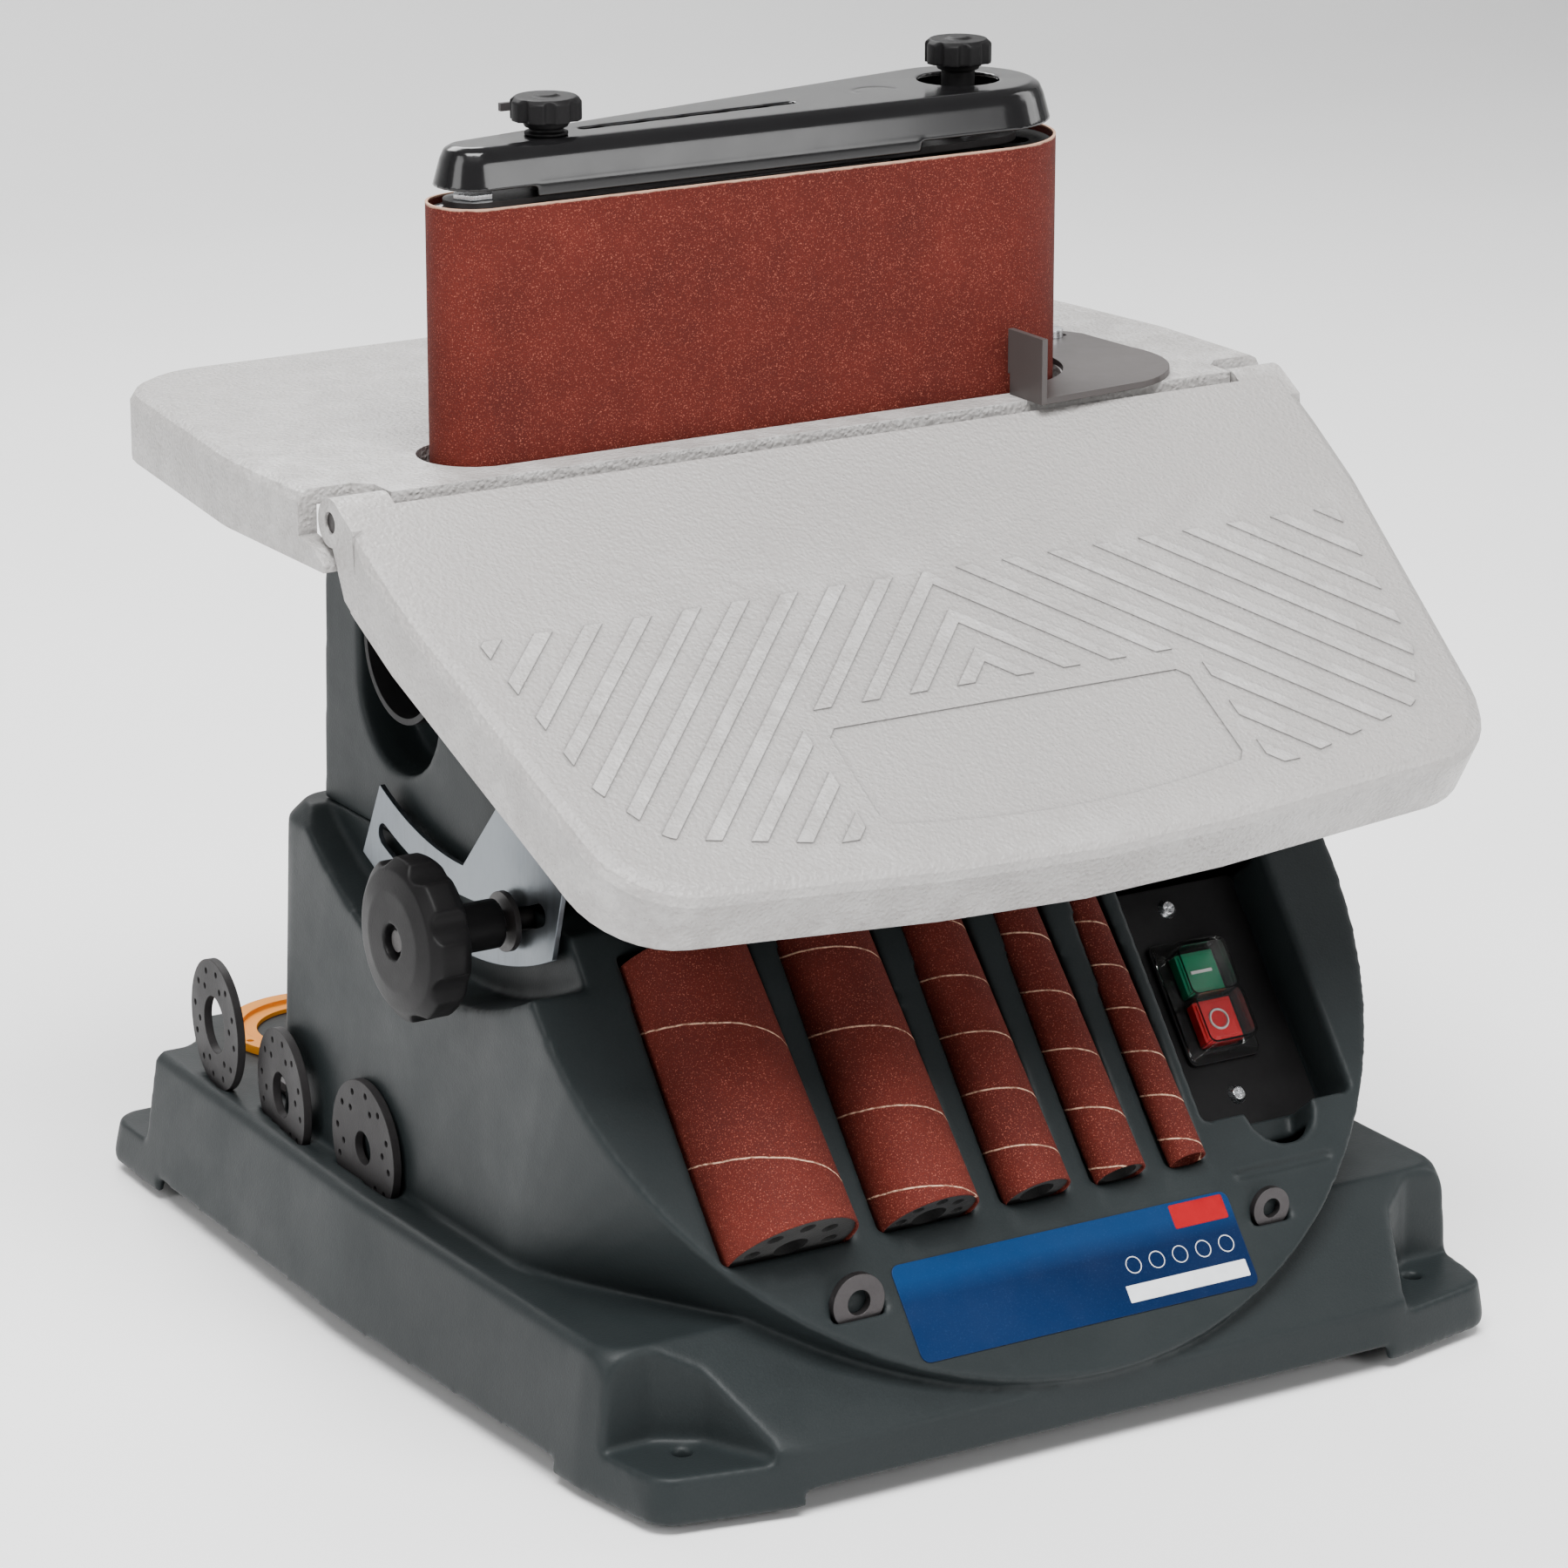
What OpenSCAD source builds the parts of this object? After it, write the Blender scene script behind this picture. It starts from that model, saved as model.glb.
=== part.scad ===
// Bench-top oscillating belt and spindle sander, shown with its belt unit fitted.
// X runs left to right facing the front, Y runs to the back, Z is up.
// Every module is drawn in a working frame whose Y = 0 is the sanding face of
// the belt; place() shifts it so that the origin is the middle of the footprint
// on the surface the rubber feet stand on.

/* [Table] */
// Height of the table surface above the bench
table_h = 333; // [325:1:340]
// Half width of the tables at the hinge line
table_hw = 208.5; // [207:0.5:209]
// Thickness of both tables
table_t = 26; // [24:1:27]
// Height of the raised grip bars on the tilting table
bar_h = 0.6; // [0.4:0.1:0.8]
// Downward tilt of the front table as drawn, degrees
tilt = 31; // [25:1:35]

/* [Belt unit] */
// Width of the sanding belt
belt_w = 102; // [102:1:102]
// Outside radius of the belt round the drive drum
belt_r2 = 37.2; // [36.5:0.1:37.5]
// Outside radius of the belt round the idler roller
belt_r1 = 17.3; // [16.8:0.1:17.6]
// Thickness of the sanding belt
belt_t = 1.0; // [0.8:0.1:1.1]
// Lobes on the two star knobs
star_lobes = 8; // [6:1:9]

/* [Spindle] */
// Radius of the spindle
spindle_r = 6.35; // [6.3:0.01:6.4]
// Radial running clearance of the spindle in its bushes
run_c = 0.05; // [0.03:0.01:0.09]

/* [Base] */
// Lean of the front panel from the vertical, degrees
lean = 38.8; // [38:0.1:39.5]
// Radius of the round front panel
face_r = 173; // [170:1:174]
// Height of the deck around the base
deck_z = 57.5; // [56:0.5:59]
// Radius of the bench bolt holes
bench_r = 3.5; // [3:0.25:4]

/* [Tilt lock] */
// Radius of the slot in the tilt quadrant, from the hinge pin
slot_r = 149; // [148:0.5:150]
// Radius of the tilt lock knob
tknob_r = 30; // [27:0.5:31]

/* [Hidden] */
$fn = 64;
eps = 0.02;

T = table_h;                 // table surface
Y0 = -16.5;                  // working frame to footprint centre
xi = -128.6;                 // idler axis
yi = belt_r1;
xd = 90.2;                   // drive drum and spindle axis
yd = belt_r2;
py = -13; pz = T - 9;        // table hinge pin
kn = 16.1;                   // tilt lock bolt, degrees ahead of straight down
ky = py - slot_r * sin(kn);
kz = pz - slot_r * cos(kn);
qx = -156;                   // tilt quadrant plate
hx = 158.5; hyf = -176; hyr = 216;   // bench bolt holes
mx = 28; my = yd;            // motor axis
fz = 3.5;                    // underside of the moulding
body_hw = 164; col_hw = 150;
body_top = 184; body_back = 119;

module place() { translate([0, Y0, 0]) children(); }
// frame on the slanted front panel: X across, Y up the panel, Z out of it
module panel() { translate([0, -228.6, fz]) rotate([90 - lean, 0, 0]) children(); }
// frame on the tilted table: origin on the hinge pin, Y towards the hinge, Z out of its top
module tilted() { translate([0, py, pz]) rotate([tilt, 0, 0]) children(); }

function unit(v) = v / norm(v);
function corner(p0, p1, p2, r, n) =
  let (a = unit(p0 - p1), b = unit(p2 - p1), g = acos(a * b), d = r / tan(g / 2),
       c = p1 + unit(a + b) * r / sin(g / 2), s = p1 + a * d, e = p1 + b * d,
       a0 = atan2(s[1] - c[1], s[0] - c[0]), a1 = atan2(e[1] - c[1], e[0] - c[0]),
       da = ((a1 - a0 + 540) % 360) - 180)
  [for (i = [0:n]) c + r * [cos(a0 + da * i / n), sin(a0 + da * i / n)]];
// polygon with rounded corners: P points, R a radius for each
function round_poly(P, R, n = 6) = let (m = len(P))
  [for (i = [0:m - 1]) each (R[i] <= 0 ? [P[i]] : corner(P[(i + m - 1) % m], P[i], P[(i + 1) % m], R[i], n))];
// the same outline pulled in by d all round, kept at its straight rear edge
function rear_outline(d) = round_poly(
  [[table_hw - d, -15.8], [table_hw - d, 62], [190 - d, 201 - d], [-190 + d, 201 - d],
   [-table_hw + d, 62], [-table_hw + d, -15.8]], [0, 80, 42 - d, 42 - d, 80, 0], 8);
function front_outline(d, back = -3.4) = concat([[204.5 - d, back], [204.5 - d, -28], [203.4 - d, -52]],
  [for (p = round_poly([[203 - d, -60], [184.5 - d, -200.5 + d], [60, -211.5 + d]], [0, 36, 0], 8)) p],
  [[0, -213.8 + d]],
  [for (p = round_poly([[-60, -211.5 + d], [-184.5 + d, -200.5 + d], [-203 + d, -60]], [0, 36, 0], 8)) p],
  [[-203.4 + d, -52], [-204.5 + d, -28], [-204.5 + d, back]]);
function base_outline(d) = round_poly(
  [[126, -207 + d], [180 - d, -196 + d], [187 - d, -150], [193 - d, 20], [184 - d, 238 - d], [120, 240 - d],
   [-120, 240 - d], [-184 + d, 238 - d], [-193 + d, 20], [-187 + d, -150], [-180 + d, -196 + d], [-126, -207 + d]],
  [60, 12, 30, 200, 12, 0, 0, 12, 200, 30, 12, 60], 5);

// flat racetrack round two wheels of different size
module racetrack(x1, y1, r1, x2, y2, r2, h) {
  D = norm([x2 - x1, y2 - y1]); b = atan2(y2 - y1, x2 - x1); g = asin((r2 - r1) / D);
  u = [cos(b - 90 - g), sin(b - 90 - g)]; v = [cos(b + 90 + g), sin(b + 90 + g)];
  // the sides sit 0.004 inside the true tangents so that they cross the arcs cleanly
  a1 = r1 - 0.004; a2 = r2 - 0.004;
  union() {
    translate([x1, y1, 0]) cylinder(r = r1, h = h);
    translate([x2, y2, 0]) cylinder(r = r2, h = h);
    linear_extrude(h) polygon([[x1, y1] + a1 * u, [x2, y2] + a2 * u, [x2, y2] + a2 * v, [x1, y1] + a1 * v]);
  }
}
module slot2(x1, y1, x2, y2, r, h) { racetrack(x1, y1, r, x2, y2, r, h); }
module rbox(x0, y0, x1, y1, r, h) {
  linear_extrude(h) polygon(round_poly([[x1, y0], [x1, y1], [x0, y1], [x0, y0]], [r, r, r, r], 5));
}
module star(r, h, lobes, notch) {
  difference() {
    union() { cylinder(r = r, h = h - 1.5); translate([0, 0, h - 1.5]) cylinder(r1 = r, r2 = r - 1.8, h = 1.5); }
    for (i = [0:lobes - 1]) rotate([0, 0, (i + 0.5) * 360 / lobes]) translate([r + notch * 0.45, 0, -1]) cylinder(r = notch, h = h + 2, $fn = 32);
  }
}
// spur wheel whose teeth are plain bars set round a rim
module spur(r, h, teeth, bore) {
  difference() {
    union() {
      cylinder(r = r - 2.2, h = h);
      for (i = [0:teeth - 1]) rotate([0, 0, i * 360 / teeth]) translate([r - 3.4, 0, 0])
        linear_extrude(h) polygon([[0, -1.25], [4.4, -0.7], [4.4, 0.7], [0, 1.25]]);
    }
    translate([0, 0, -1]) cylinder(r = bore, h = h + 2);
  }
}

// ---- housing -------------------------------------------------------------
module base_mass(d) {
  hull() {
    translate([0, 0, fz + (d > 0 ? -2 : 0)]) linear_extrude(5) polygon(base_outline(d));
    intersection() {
      translate([0, 0, 23 - d]) linear_extrude(2) polygon(base_outline(d + 2));
      translate([-300, -260, 0]) cube([600, 200, 100]);
    }
    translate([0, 0, deck_z - d - 3]) linear_extrude(0.5) polygon(
      round_poly([[183 - d, -165 + d * 2], [185 - d, 20], [177 - d, 233 - d], [-177 + d, 233 - d], [-185 + d, 20], [-183 + d, -165 + d * 2]], [14, 200, 14, 14, 200, 14], 5));
    translate([0, 0, deck_z - d - 0.5]) linear_extrude(0.5) polygon(
      round_poly([[180 - d, -162 + d * 2], [182 - d, 20], [174 - d, 230 - d], [-174 + d, 230 - d], [-182 + d, 20], [-180 + d, -162 + d * 2]], [12, 200, 12, 12, 200, 12], 5));
  }
}
module body_mass(d) {
  hull() {
    translate([0, 0, deck_z - 16]) linear_extrude(1) polygon(round_poly(
      [[167 - d, -64], [167 - d, body_back + 4 - d], [-167 + d, body_back + 4 - d], [-167 + d, -64]], [0, 16, 16, 0], 5));
    translate([0, 0, body_top - 8 - d]) linear_extrude(1) polygon(round_poly(
      [[body_hw - d, -70], [body_hw - d, body_back - d], [-body_hw + d, body_back - d], [-body_hw + d, -70]], [0, 16, 16, 0], 5));
    translate([0, 0, body_top - 1 - d]) linear_extrude(1) polygon(round_poly(
      [[body_hw - 6 - d, -60], [body_hw - 6 - d, body_back - 6 - d], [-body_hw + 6 + d, body_back - 6 - d], [-body_hw + 6 + d, -60]], [0, 12, 12, 0], 5));
    intersection() {
      panel() translate([0, 205, -5 - d]) cylinder(r = face_r - d, h = 5 + (d > 0 ? -1 : 0), $fn = 72);
      translate([-200, -260, 20 + d]) cube([400, 370, body_top - 22 - 2 * d]);
    }
  }
}
module corner_cut(d) {
  for (sx = [0, 1]) mirror([sx, 0, 0]) {
    linear_extrude(60) polygon(round_poly([[230, -164 + d], [163 - d, -164 + d], [149 - d, -173], [136 - d, -200], [136 - d, -260], [230, -260]], [0, 6, 6, 0, 0, 0], 5));
    linear_extrude(60) polygon(round_poly([[230, 202 - d], [165 - d, 202 - d], [150 - d, 212 - d], [146 - d, 228], [146 - d, 280], [230, 280]], [0, 6, 6, 0, 0, 0], 5));
  }
}
sleeves = [[-108.4, 25.4], [-50.9, 19], [-5, 13], [31, 10], [60.7, 7.2]];
module sleeve_axis(i) { panel() translate([sleeves[i][0], 100, 2]) rotate([-94.3, 0, 0]) children(); }
stores = [[157, 81, -6], [100.5, 69.5, -7], [33, 69.5, -1.5]];   // y, z, turn of each stored insert
module base_housing() place() color([0.29, 0.31, 0.32]) {
  difference() {
    union() {
      difference() {
        union() {
          base_mass(0);
          body_mass(0);
        }
        // inside of the lower housing, open underneath and into the column
        base_mass(4);
        body_mass(5);
        translate([-141, -50, 100]) cube([282, 145, 200]);
      }
      intersection() {
        union() { base_mass(0); body_mass(0); }
        union() {
          // walls of the pocket for the tilt quadrant
          translate([-150, -170, 60]) cube([5, 300, 200]);
          translate([-170, py, pz]) rotate([0, 90, 0]) difference() {
            cylinder(r = 183, h = 22, $fn = 128);
            translate([0, 0, -1]) cylinder(r = 178, h = 30, $fn = 128);
          }
          translate([-152, ky, kz]) rotate([0, 90, 0]) cylinder(r = 10, h = 14);
          // corner pads and the walls behind them
          corner_cut(4);
          // troughs that carry the stored sleeves
          for (i = [0:4]) sleeve_axis(i) translate([0, 0, -4]) cylinder(r = sleeves[i][1] + 4.6, h = 128);
          // switch well and backing of the washer pockets
          panel() {
            translate([71.5, 105, -29]) cube([74, 107, 28]);
            translate([-105, 58, -20]) cube([32, 34, 19]);
            translate([76, 58, -20]) cube([25, 32, 19]);
          }
          // slots that hold the table inserts
          for (q = stores) translate([-181, q[0] - 30, 30]) cube([20, 60, 28]);
          // bosses for the bottom cover
          for (sx = [-1, 1], y = [-118, -22, 172]) translate([sx * 163, y, 5]) cylinder(r = 5, h = 52);
        }
      }
      // blank size pads under the sleeves
      panel() for (x = [-109.5, -51.3, -5.9, 31.8, 60.9]) translate([0, 0, -1]) rbox(x - 9.7, 89, x + 9.7, 98.2, 1.5, 1.5);
    }
    // relieved underside between the pads
    translate([-300, -135, -5]) cube([600, 322, fz + 11.3]);
    translate([-126, -300, -5]) cube([252, 700, fz + 11.3]);
    // corner recesses over the bench bolts
    translate([0, 0, 21.2]) corner_cut(0);
    for (sx = [-1, 1], y = [hyf, hyr]) translate([sx * hx, y, -1]) {
      cylinder(r = bench_r, h = 60);
      cylinder(r = 9.2, h = fz + 4);
    }
    // pocket and bolt hole of the tilt quadrant
    intersection() {
      translate([-230, py, pz]) rotate([0, 90, 0]) cylinder(r = 179, h = 80, $fn = 128);
      translate([-230, -300, 0]) cube([80, 600, 400]);
    }
    translate([-160, ky, kz]) rotate([0, 90, 0]) cylinder(r = 4 + run_c, h = 40);
    // sleeve grooves
    for (i = [0:4]) sleeve_axis(i) cylinder(r = sleeves[i][1] + 1.2, h = 119.5);
    // switch well and its finger notch
    panel() {
      translate([0, 0, -25]) rbox(75, 113.75, 142, 216, 3, 60);
      translate([108.5, 114, -16]) cylinder(r = 14.5, h = 40);
      translate([94, 143, -40]) cube([29, 44, 30]);
      for (y = [127.2, 203.2]) translate([108.5, y, -40]) cylinder(r = 1.6, h = 30);
      // storage groove
      translate([79, 90, -3]) cube([44, 3, 6]);
    }
    // slots that hold the spare washers upright
    translate([-101.2, -183, 53.75]) cube([22.4, 4, 40]);
    translate([79.5, -182.8, 56.05]) cube([17, 3.6, 40]);
    // slots for the table inserts
    for (q = stores) translate([-171.5, q[0], q[1]]) rotate([0, 90, q[2]]) translate([0, 0, -2.1]) cylinder(r = 26.7, h = 4.2);
    // cable gland hole at the back
    translate([60, 100, 95]) rotate([-90, 0, 0]) cylinder(r = 8.1, h = 40);
    // louvres at the back
    for (i = [0:5]) slot2y(-70 + i * 14, body_back + 3, 90, 145);
  }
}
module slot2y(x, y, z0, z1) { translate([x, y + 3, 0]) rotate([90, 0, 0]) slot2(0, z0, 0, z1, 2.5, 20); }

function column_side() = [[-14, T - table_t], [-14, 284], [-58, 240], [-64, body_top], [104, body_top], [98, T - table_t]];
module column_housing() place() color([0.30, 0.32, 0.33]) difference() {
  union() {
    difference() {
      translate([-col_hw, 0, 0]) rotate([90, 0, 90]) linear_extrude(2 * col_hw) polygon(round_poly(column_side(), [0, 20, 20, 0, 0, 0], 6));
      translate([-col_hw + 5, 0, 0]) rotate([90, 0, 90]) linear_extrude(2 * col_hw - 10)
        polygon([[-9, T - table_t - 6], [-9, 286], [-53, 242], [-59, body_top - 5], [99, body_top - 5], [93, T - table_t - 6]]);
    }
    // well round the dust outlet
    translate([-col_hw, 42, 240.5]) rotate([0, 90, 0]) cylinder(r = 34, h = 24);
    translate([-col_hw, 8, 240.5]) cube([24, 68, 55]);
  }
  translate([-col_hw - 5, 42, 240.5]) rotate([0, 90, 0]) cylinder(r = 31, h = 25);
  translate([-col_hw - 5, 11, 240.5]) cube([25, 62, 50]);
  translate([-col_hw - 5, 42, 256.6]) rotate([0, 90, 0]) cylinder(r = 28.2, h = 60);
  translate([-160, ky, kz]) rotate([0, 90, 0]) cylinder(r = 10.3, h = 40);
  // holes in the top for the spindle bush, guide bush and table bolts
  translate([xd, yd, T - table_t - 20]) cylinder(r = 15, h = 40);
  translate([-60, 24, T - table_t - 20]) cylinder(r = 8, h = 40);
  for (x = [-125, 125], y = [8, 82]) translate([x, y, T - table_t - 20]) cylinder(r = 3.3, h = 40);
  // dust way up to the belt
  translate([-40, 20, T - table_t - 20]) cube([80, 26, 40]);
}
module rubber_feet() place() color([0.08, 0.08, 0.08])
  for (sx = [-1, 1], y = [hyf, hyr]) translate([sx * hx, y, 0]) difference() {
    union() { cylinder(r1 = 8, r2 = 9, h = 3); translate([0, 0, 3]) cylinder(r = 9, h = 3.4); }
    translate([0, 0, -1]) cylinder(r = bench_r, h = 10);
  }
module bottom_cover() place() color([0.25, 0.25, 0.25]) difference() {
  translate([0, 0, 3.3]) linear_extrude(1.6) polygon(round_poly([[118, -178], [120, -132], [172, -128], [178, 20], [172, 184], [-172, 184], [-178, 20], [-172, -128], [-120, -132], [-118, -178]], [16, 0, 16, 60, 10, 10, 60, 16, 0, 16], 5));
  for (sx = [-1, 1], y = [-118, -22, 172]) translate([sx * 163, y, 2]) cylinder(r = 2.2, h = 8);
  for (i = [-4:4]) slot2(i * 16, -50, i * 16, 40, 3, 8);
}

// ---- fixed table -----------------------------------------------------------
module fixed_table() place() color([0.78, 0.77, 0.76]) difference() {
  union() {
    difference() {
      hull() {
        translate([0, 0, T - table_t]) linear_extrude(table_t - 4.5) polygon(rear_outline(0));
        translate([0, 0, T - 1.6]) linear_extrude(0.2) polygon(rear_outline(1.7));
        translate([0, 0, T - 0.3]) linear_extrude(0.3) polygon(rear_outline(4.5));
      }
      // hollow underside
      translate([0, 0, T - table_t - 1]) linear_extrude(table_t - 5) polygon(
        round_poly([[201, -9], [201, 60], [183, 194], [-183, 194], [-201, 60], [-201, -9]], [4, 80, 36, 36, 80, 4], 6));
    }
    // wall round the throat
    translate([0, 0, T - table_t]) racetrack(xi, yi + 2, belt_r1 + 9, xd, yd + 1.5, belt_r2 + 9, table_t - 2);
    // bolt bosses, hinge bosses and stiffening webs
    for (x = [-125, 125], y = [8, 82]) translate([x, y, T - table_t]) cylinder(r = 9, h = table_t - 2);
    for (sx = [-1, 1]) translate([sx * 170 - 11, -15.8, T - table_t]) cube([22, 14, table_t - 4]);
    for (x = [-60, 20, 150]) translate([x - 2, 80, T - 15]) cube([4, 116, 12]);
    translate([-190, 128, T - 15]) cube([380, 4, 12]);
    for (sx = [-1, 1]) translate([sx * 160 - 2, 0, T - 15]) cube([4, 190, 12]);
  }
  // throat
  translate([0, 0, T - table_t - 5]) racetrack(xi, yi + 2, belt_r1 + 4, xd, yd + 1.5, belt_r2 + 4, table_t + 10);
  // notches for the ears of the tilting table
  for (m = [0, 1]) mirror([m, 0, 0]) intersection() {
    translate([170, 0, T]) rotate([90, 0, 90]) linear_extrude(60) polygon([[-40, 6], [3.1, 6], [3.1, -16.5], [-9, -19], [-15.5, -23.5], [-40, -23.5]]);
    translate([0, 0, T - 40]) linear_extrude(60) polygon([[181.2, -40], [181.2, -3], [187.3, 3.2], [230, 3.2], [230, -40]]);
  }
  // hinge pin bores
  for (sx = [-1, 1]) translate([sx * 170 - 13, py, pz]) rotate([0, 90, 0]) cylinder(r = 4, h = 26);
  // threaded holes under the bosses and for the back stop
  for (x = [-125, 125], y = [8, 82]) translate([x, y, T - table_t - 1]) cylinder(r = 3, h = 16);
  translate([150, 62, T - 12]) cylinder(r = 2.5, h = 20);
}
module table_bolts() place() color([0.7, 0.71, 0.72])
  for (x = [-125, 125], y = [8, 82]) translate([x, y, T - table_t - 10]) {
    cylinder(r = 5.7, h = 4, $fn = 6);
    cylinder(r = 2.98, h = 17);
  }
module hinge_pins() place() color([0.2, 0.2, 0.2])
  for (sx = [-1, 1]) translate([sx * 181 - (sx > 0 ? 19 : 22), py, pz]) rotate([0, 90, 0]) cylinder(r = 3.97, h = 41);
module dust_port() place() color([0.07, 0.07, 0.07]) translate([-col_hw + 1, 42, 256.6]) rotate([0, 90, 0]) difference() {
  union() { cylinder(r = 28, h = 46); translate([0, 0, 26]) cylinder(r = 31, h = 3); }
  translate([0, 0, -1]) cylinder(r = 25.5, h = 50);
}
module cable_gland() place() color([0.05, 0.05, 0.05]) translate([60, body_back + 12, 95]) rotate([90, 0, 0]) difference() {
  union() { cylinder(r1 = 7, r2 = 9, h = 5); translate([0, 0, 5]) cylinder(r = 11, h = 4, $fn = 6); translate([0, 0, 7]) cylinder(r = 8, h = 18); }
  translate([0, 0, -1]) cylinder(r = 4, h = 40);
}

// ---- drive -----------------------------------------------------------------
module motor_housing() place() color([0.5, 0.52, 0.54]) translate([mx, my, 148]) difference() {
  union() {
    cylinder(r = 41, h = 94);
    for (i = [0:11]) rotate([0, 0, i * 30]) translate([40, -1.5, 10]) cube([3.4, 3, 72]);
  }
  translate([0, 0, 5]) cylinder(r = 37, h = 84);
  translate([0, 0, -1]) cylinder(r = 6.05, h = 100);
}
module motor_rotor() place() color([0.62, 0.45, 0.25]) translate([mx, my, 0]) union() {
  translate([0, 0, 112]) cylinder(r = 6, h = 150);
  translate([0, 0, 165]) cylinder(r = 25, h = 50);
  translate([0, 0, 218]) cylinder(r = 14, h = 16);
  translate([0, 0, 98]) spur(15.9, 38, 20, 0.5);
  translate([0, 0, 98]) cylinder(r = 3, h = 30);
}
module cooling_fan() place() color([0.12, 0.12, 0.12]) translate([mx, my, 248]) difference() {
  union() {
    cylinder(r = 11, h = 9);
    for (i = [0:8]) rotate([0, 0, i * 40]) translate([8, 0, 0]) rotate([0, 0, 20]) translate([0, -0.8, 0]) cube([24, 1.6, 9]);
    cylinder(r = 33, h = 1.2);
  }
  translate([0, 0, -1]) cylinder(r = 6.01, h = 20);
}
module gear_plate() place() color([0.66, 0.67, 0.68]) difference() {
  union() {
    translate([0, 0, 142]) rbox(-50, -20, 135, 95, 10, 6);
    translate([xd, yd, 138]) cylinder(r = 16, h = 14);
    for (p = [[-42, 0], [-42, 87], [106, 0], [106, 87]]) translate([p[0], p[1], 142]) cylinder(r = 6, h = T - table_t - 6 - 142);
    // arm that carries the oscillation cam
    translate([78, -17, 58]) cube([24, 4.4, 86]);
  }
  translate([mx, my, 130]) cylinder(r = 8, h = 30);
  translate([xd, yd, 130]) cylinder(r = 11.02, h = 40);
  translate([xd, -10, 74]) rotate([90, 0, 0]) cylinder(r = 5 + run_c, h = 10);
}
module spindle_bushes() place() color([0.72, 0.55, 0.3])
  for (z = [[137, 16], [288, 20]]) translate([xd, yd, z[0]]) difference() {
    union() { cylinder(r = z[0] > 200 ? 14.9 : 11, h = z[1]); if (z[0] > 200) translate([0, 0, -3]) cylinder(r = 19, h = 3); }
    translate([0, 0, -5]) cylinder(r = spindle_r + run_c, h = 40);
  }
module guide_bush() place() color([0.72, 0.55, 0.3]) translate([-60, 24, 287]) difference() {
  union() { cylinder(r = 7.9, h = 22); translate([0, 0, 10.5]) cylinder(r = 11, h = 3.5); }
  translate([0, 0, -1]) cylinder(r = 4 + run_c, h = 40);
}
module spindle() place() color([0.75, 0.76, 0.78]) translate([xd, yd, 0]) union() {
  translate([0, 0, 84]) cylinder(r = spindle_r, h = T + 104 - 84);
  translate([0, 0, 122.5]) cylinder(r = 9, h = 3);
  translate([0, 0, T + 97]) cylinder(r = 15, h = 2);
}
module driven_gear() place() color([0.9, 0.88, 0.8]) translate([xd, yd, 110]) difference() {
  spur(43.9, 12, 50, spindle_r + 0.01);
  for (i = [0:5]) rotate([0, 0, i * 60]) translate([24, 0, -1]) cylinder(r = 7, h = 20);
}
module cam_wheel() place() color([0.9, 0.88, 0.8]) translate([xd, -17.4, 74]) rotate([90, 0, 0]) union() {
  cylinder(r = 23, h = 8);
  translate([8, 0, 8]) cylinder(r = 3, h = 4);
  translate([0, 0, -8]) cylinder(r = 5, h = 8);
}

// ---- belt unit --------------------------------------------------------------
module sanding_belt() place() color([0.49, 0.18, 0.15]) translate([0, 0, T - 9]) difference() {
  racetrack(xi, yi, belt_r1, xd, yd, belt_r2, belt_w);
  translate([0, 0, -1]) racetrack(xi, yi, belt_r1 - belt_t, xd, yd, belt_r2 - belt_t, belt_w + 2);
}
module idler_roller() place() color([0.55, 0.56, 0.58]) translate([xi, yi, T - 3]) difference() {
  union() {
    cylinder(r = belt_r1 - belt_t - 0.3, h = 93);
  }
  translate([0, 0, -1]) cylinder(r = 5 + run_c, h = 100);
  translate([0, 0, -1]) cylinder(r = 12, h = 5);
  translate([0, 0, 89]) cylinder(r = 12, h = 5);
}
module idler_axle() place() color([0.75, 0.76, 0.78]) translate([xi, yi, T - 8]) union() {
  cylinder(r = 5, h = 103);
  translate([0, 0, 102.2]) cylinder(r = 8, h = 1.8, $fn = 6);
}
module drive_drum() place() color([0.1, 0.1, 0.1]) translate([xd, yd, T - 4]) difference() {
  cylinder(r = belt_r2 - belt_t - 0.3, h = 94);
  translate([0, 0, -1]) cylinder(r = spindle_r + 0.01, h = 100);
  for (i = [0:5]) rotate([0, 0, i * 60]) translate([20, 0, -1]) cylinder(r = 7, h = 20);
  for (i = [0:5]) rotate([0, 0, i * 60 + 30]) translate([20, 0, 76]) cylinder(r = 7, h = 30);
}
module belt_frame() place() color([0.16, 0.16, 0.17]) difference() {
  union() {
    // lower and upper arms
    translate([0, 0, T - 8]) racetrack(xi + 0, yi, 9, -96, 15, 9, 3);
    translate([-96, 5.2, T - 8]) cube([150, 10.8, 3]);
    translate([0, 0, T - 8]) racetrack(-60, 24, 9, -60, 10, 9, 3);
    translate([0, 0, T - 8]) racetrack(54, 15, 9, xd, yd, 16, 3);
    translate([0, 0, T + 91.2]) racetrack(xi, yi, 11, xd, yd, 22, 2.8);
    // web between the arms
    translate([-100, 8, T - 6]) cube([142, 3.5, 98]);
    // stand-offs of the platen
    for (x = [-80, 20], z = [T + 15, T + 70]) translate([x, 4.4, z]) rotate([-90, 0, 0]) cylinder(r = 4, h = 4);
    // post of the cover
    translate([-97.6, 19, T + 91.2]) cylinder(r = 6, h = 19.6);
  }
  translate([xi, yi, T - 20]) cylinder(r = 5.02, h = 140);
  translate([xd, yd, T - 20]) cylinder(r = 10, h = 140);
  translate([-60, 24, T - 20]) cylinder(r = 4.02, h = 40);
  translate([-97.6, 19, T + 95]) cylinder(r = 3 + run_c, h = 40);
  translate([-92, 36, T + 85]) cylinder(r = 2.5, h = 20);
}
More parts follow.
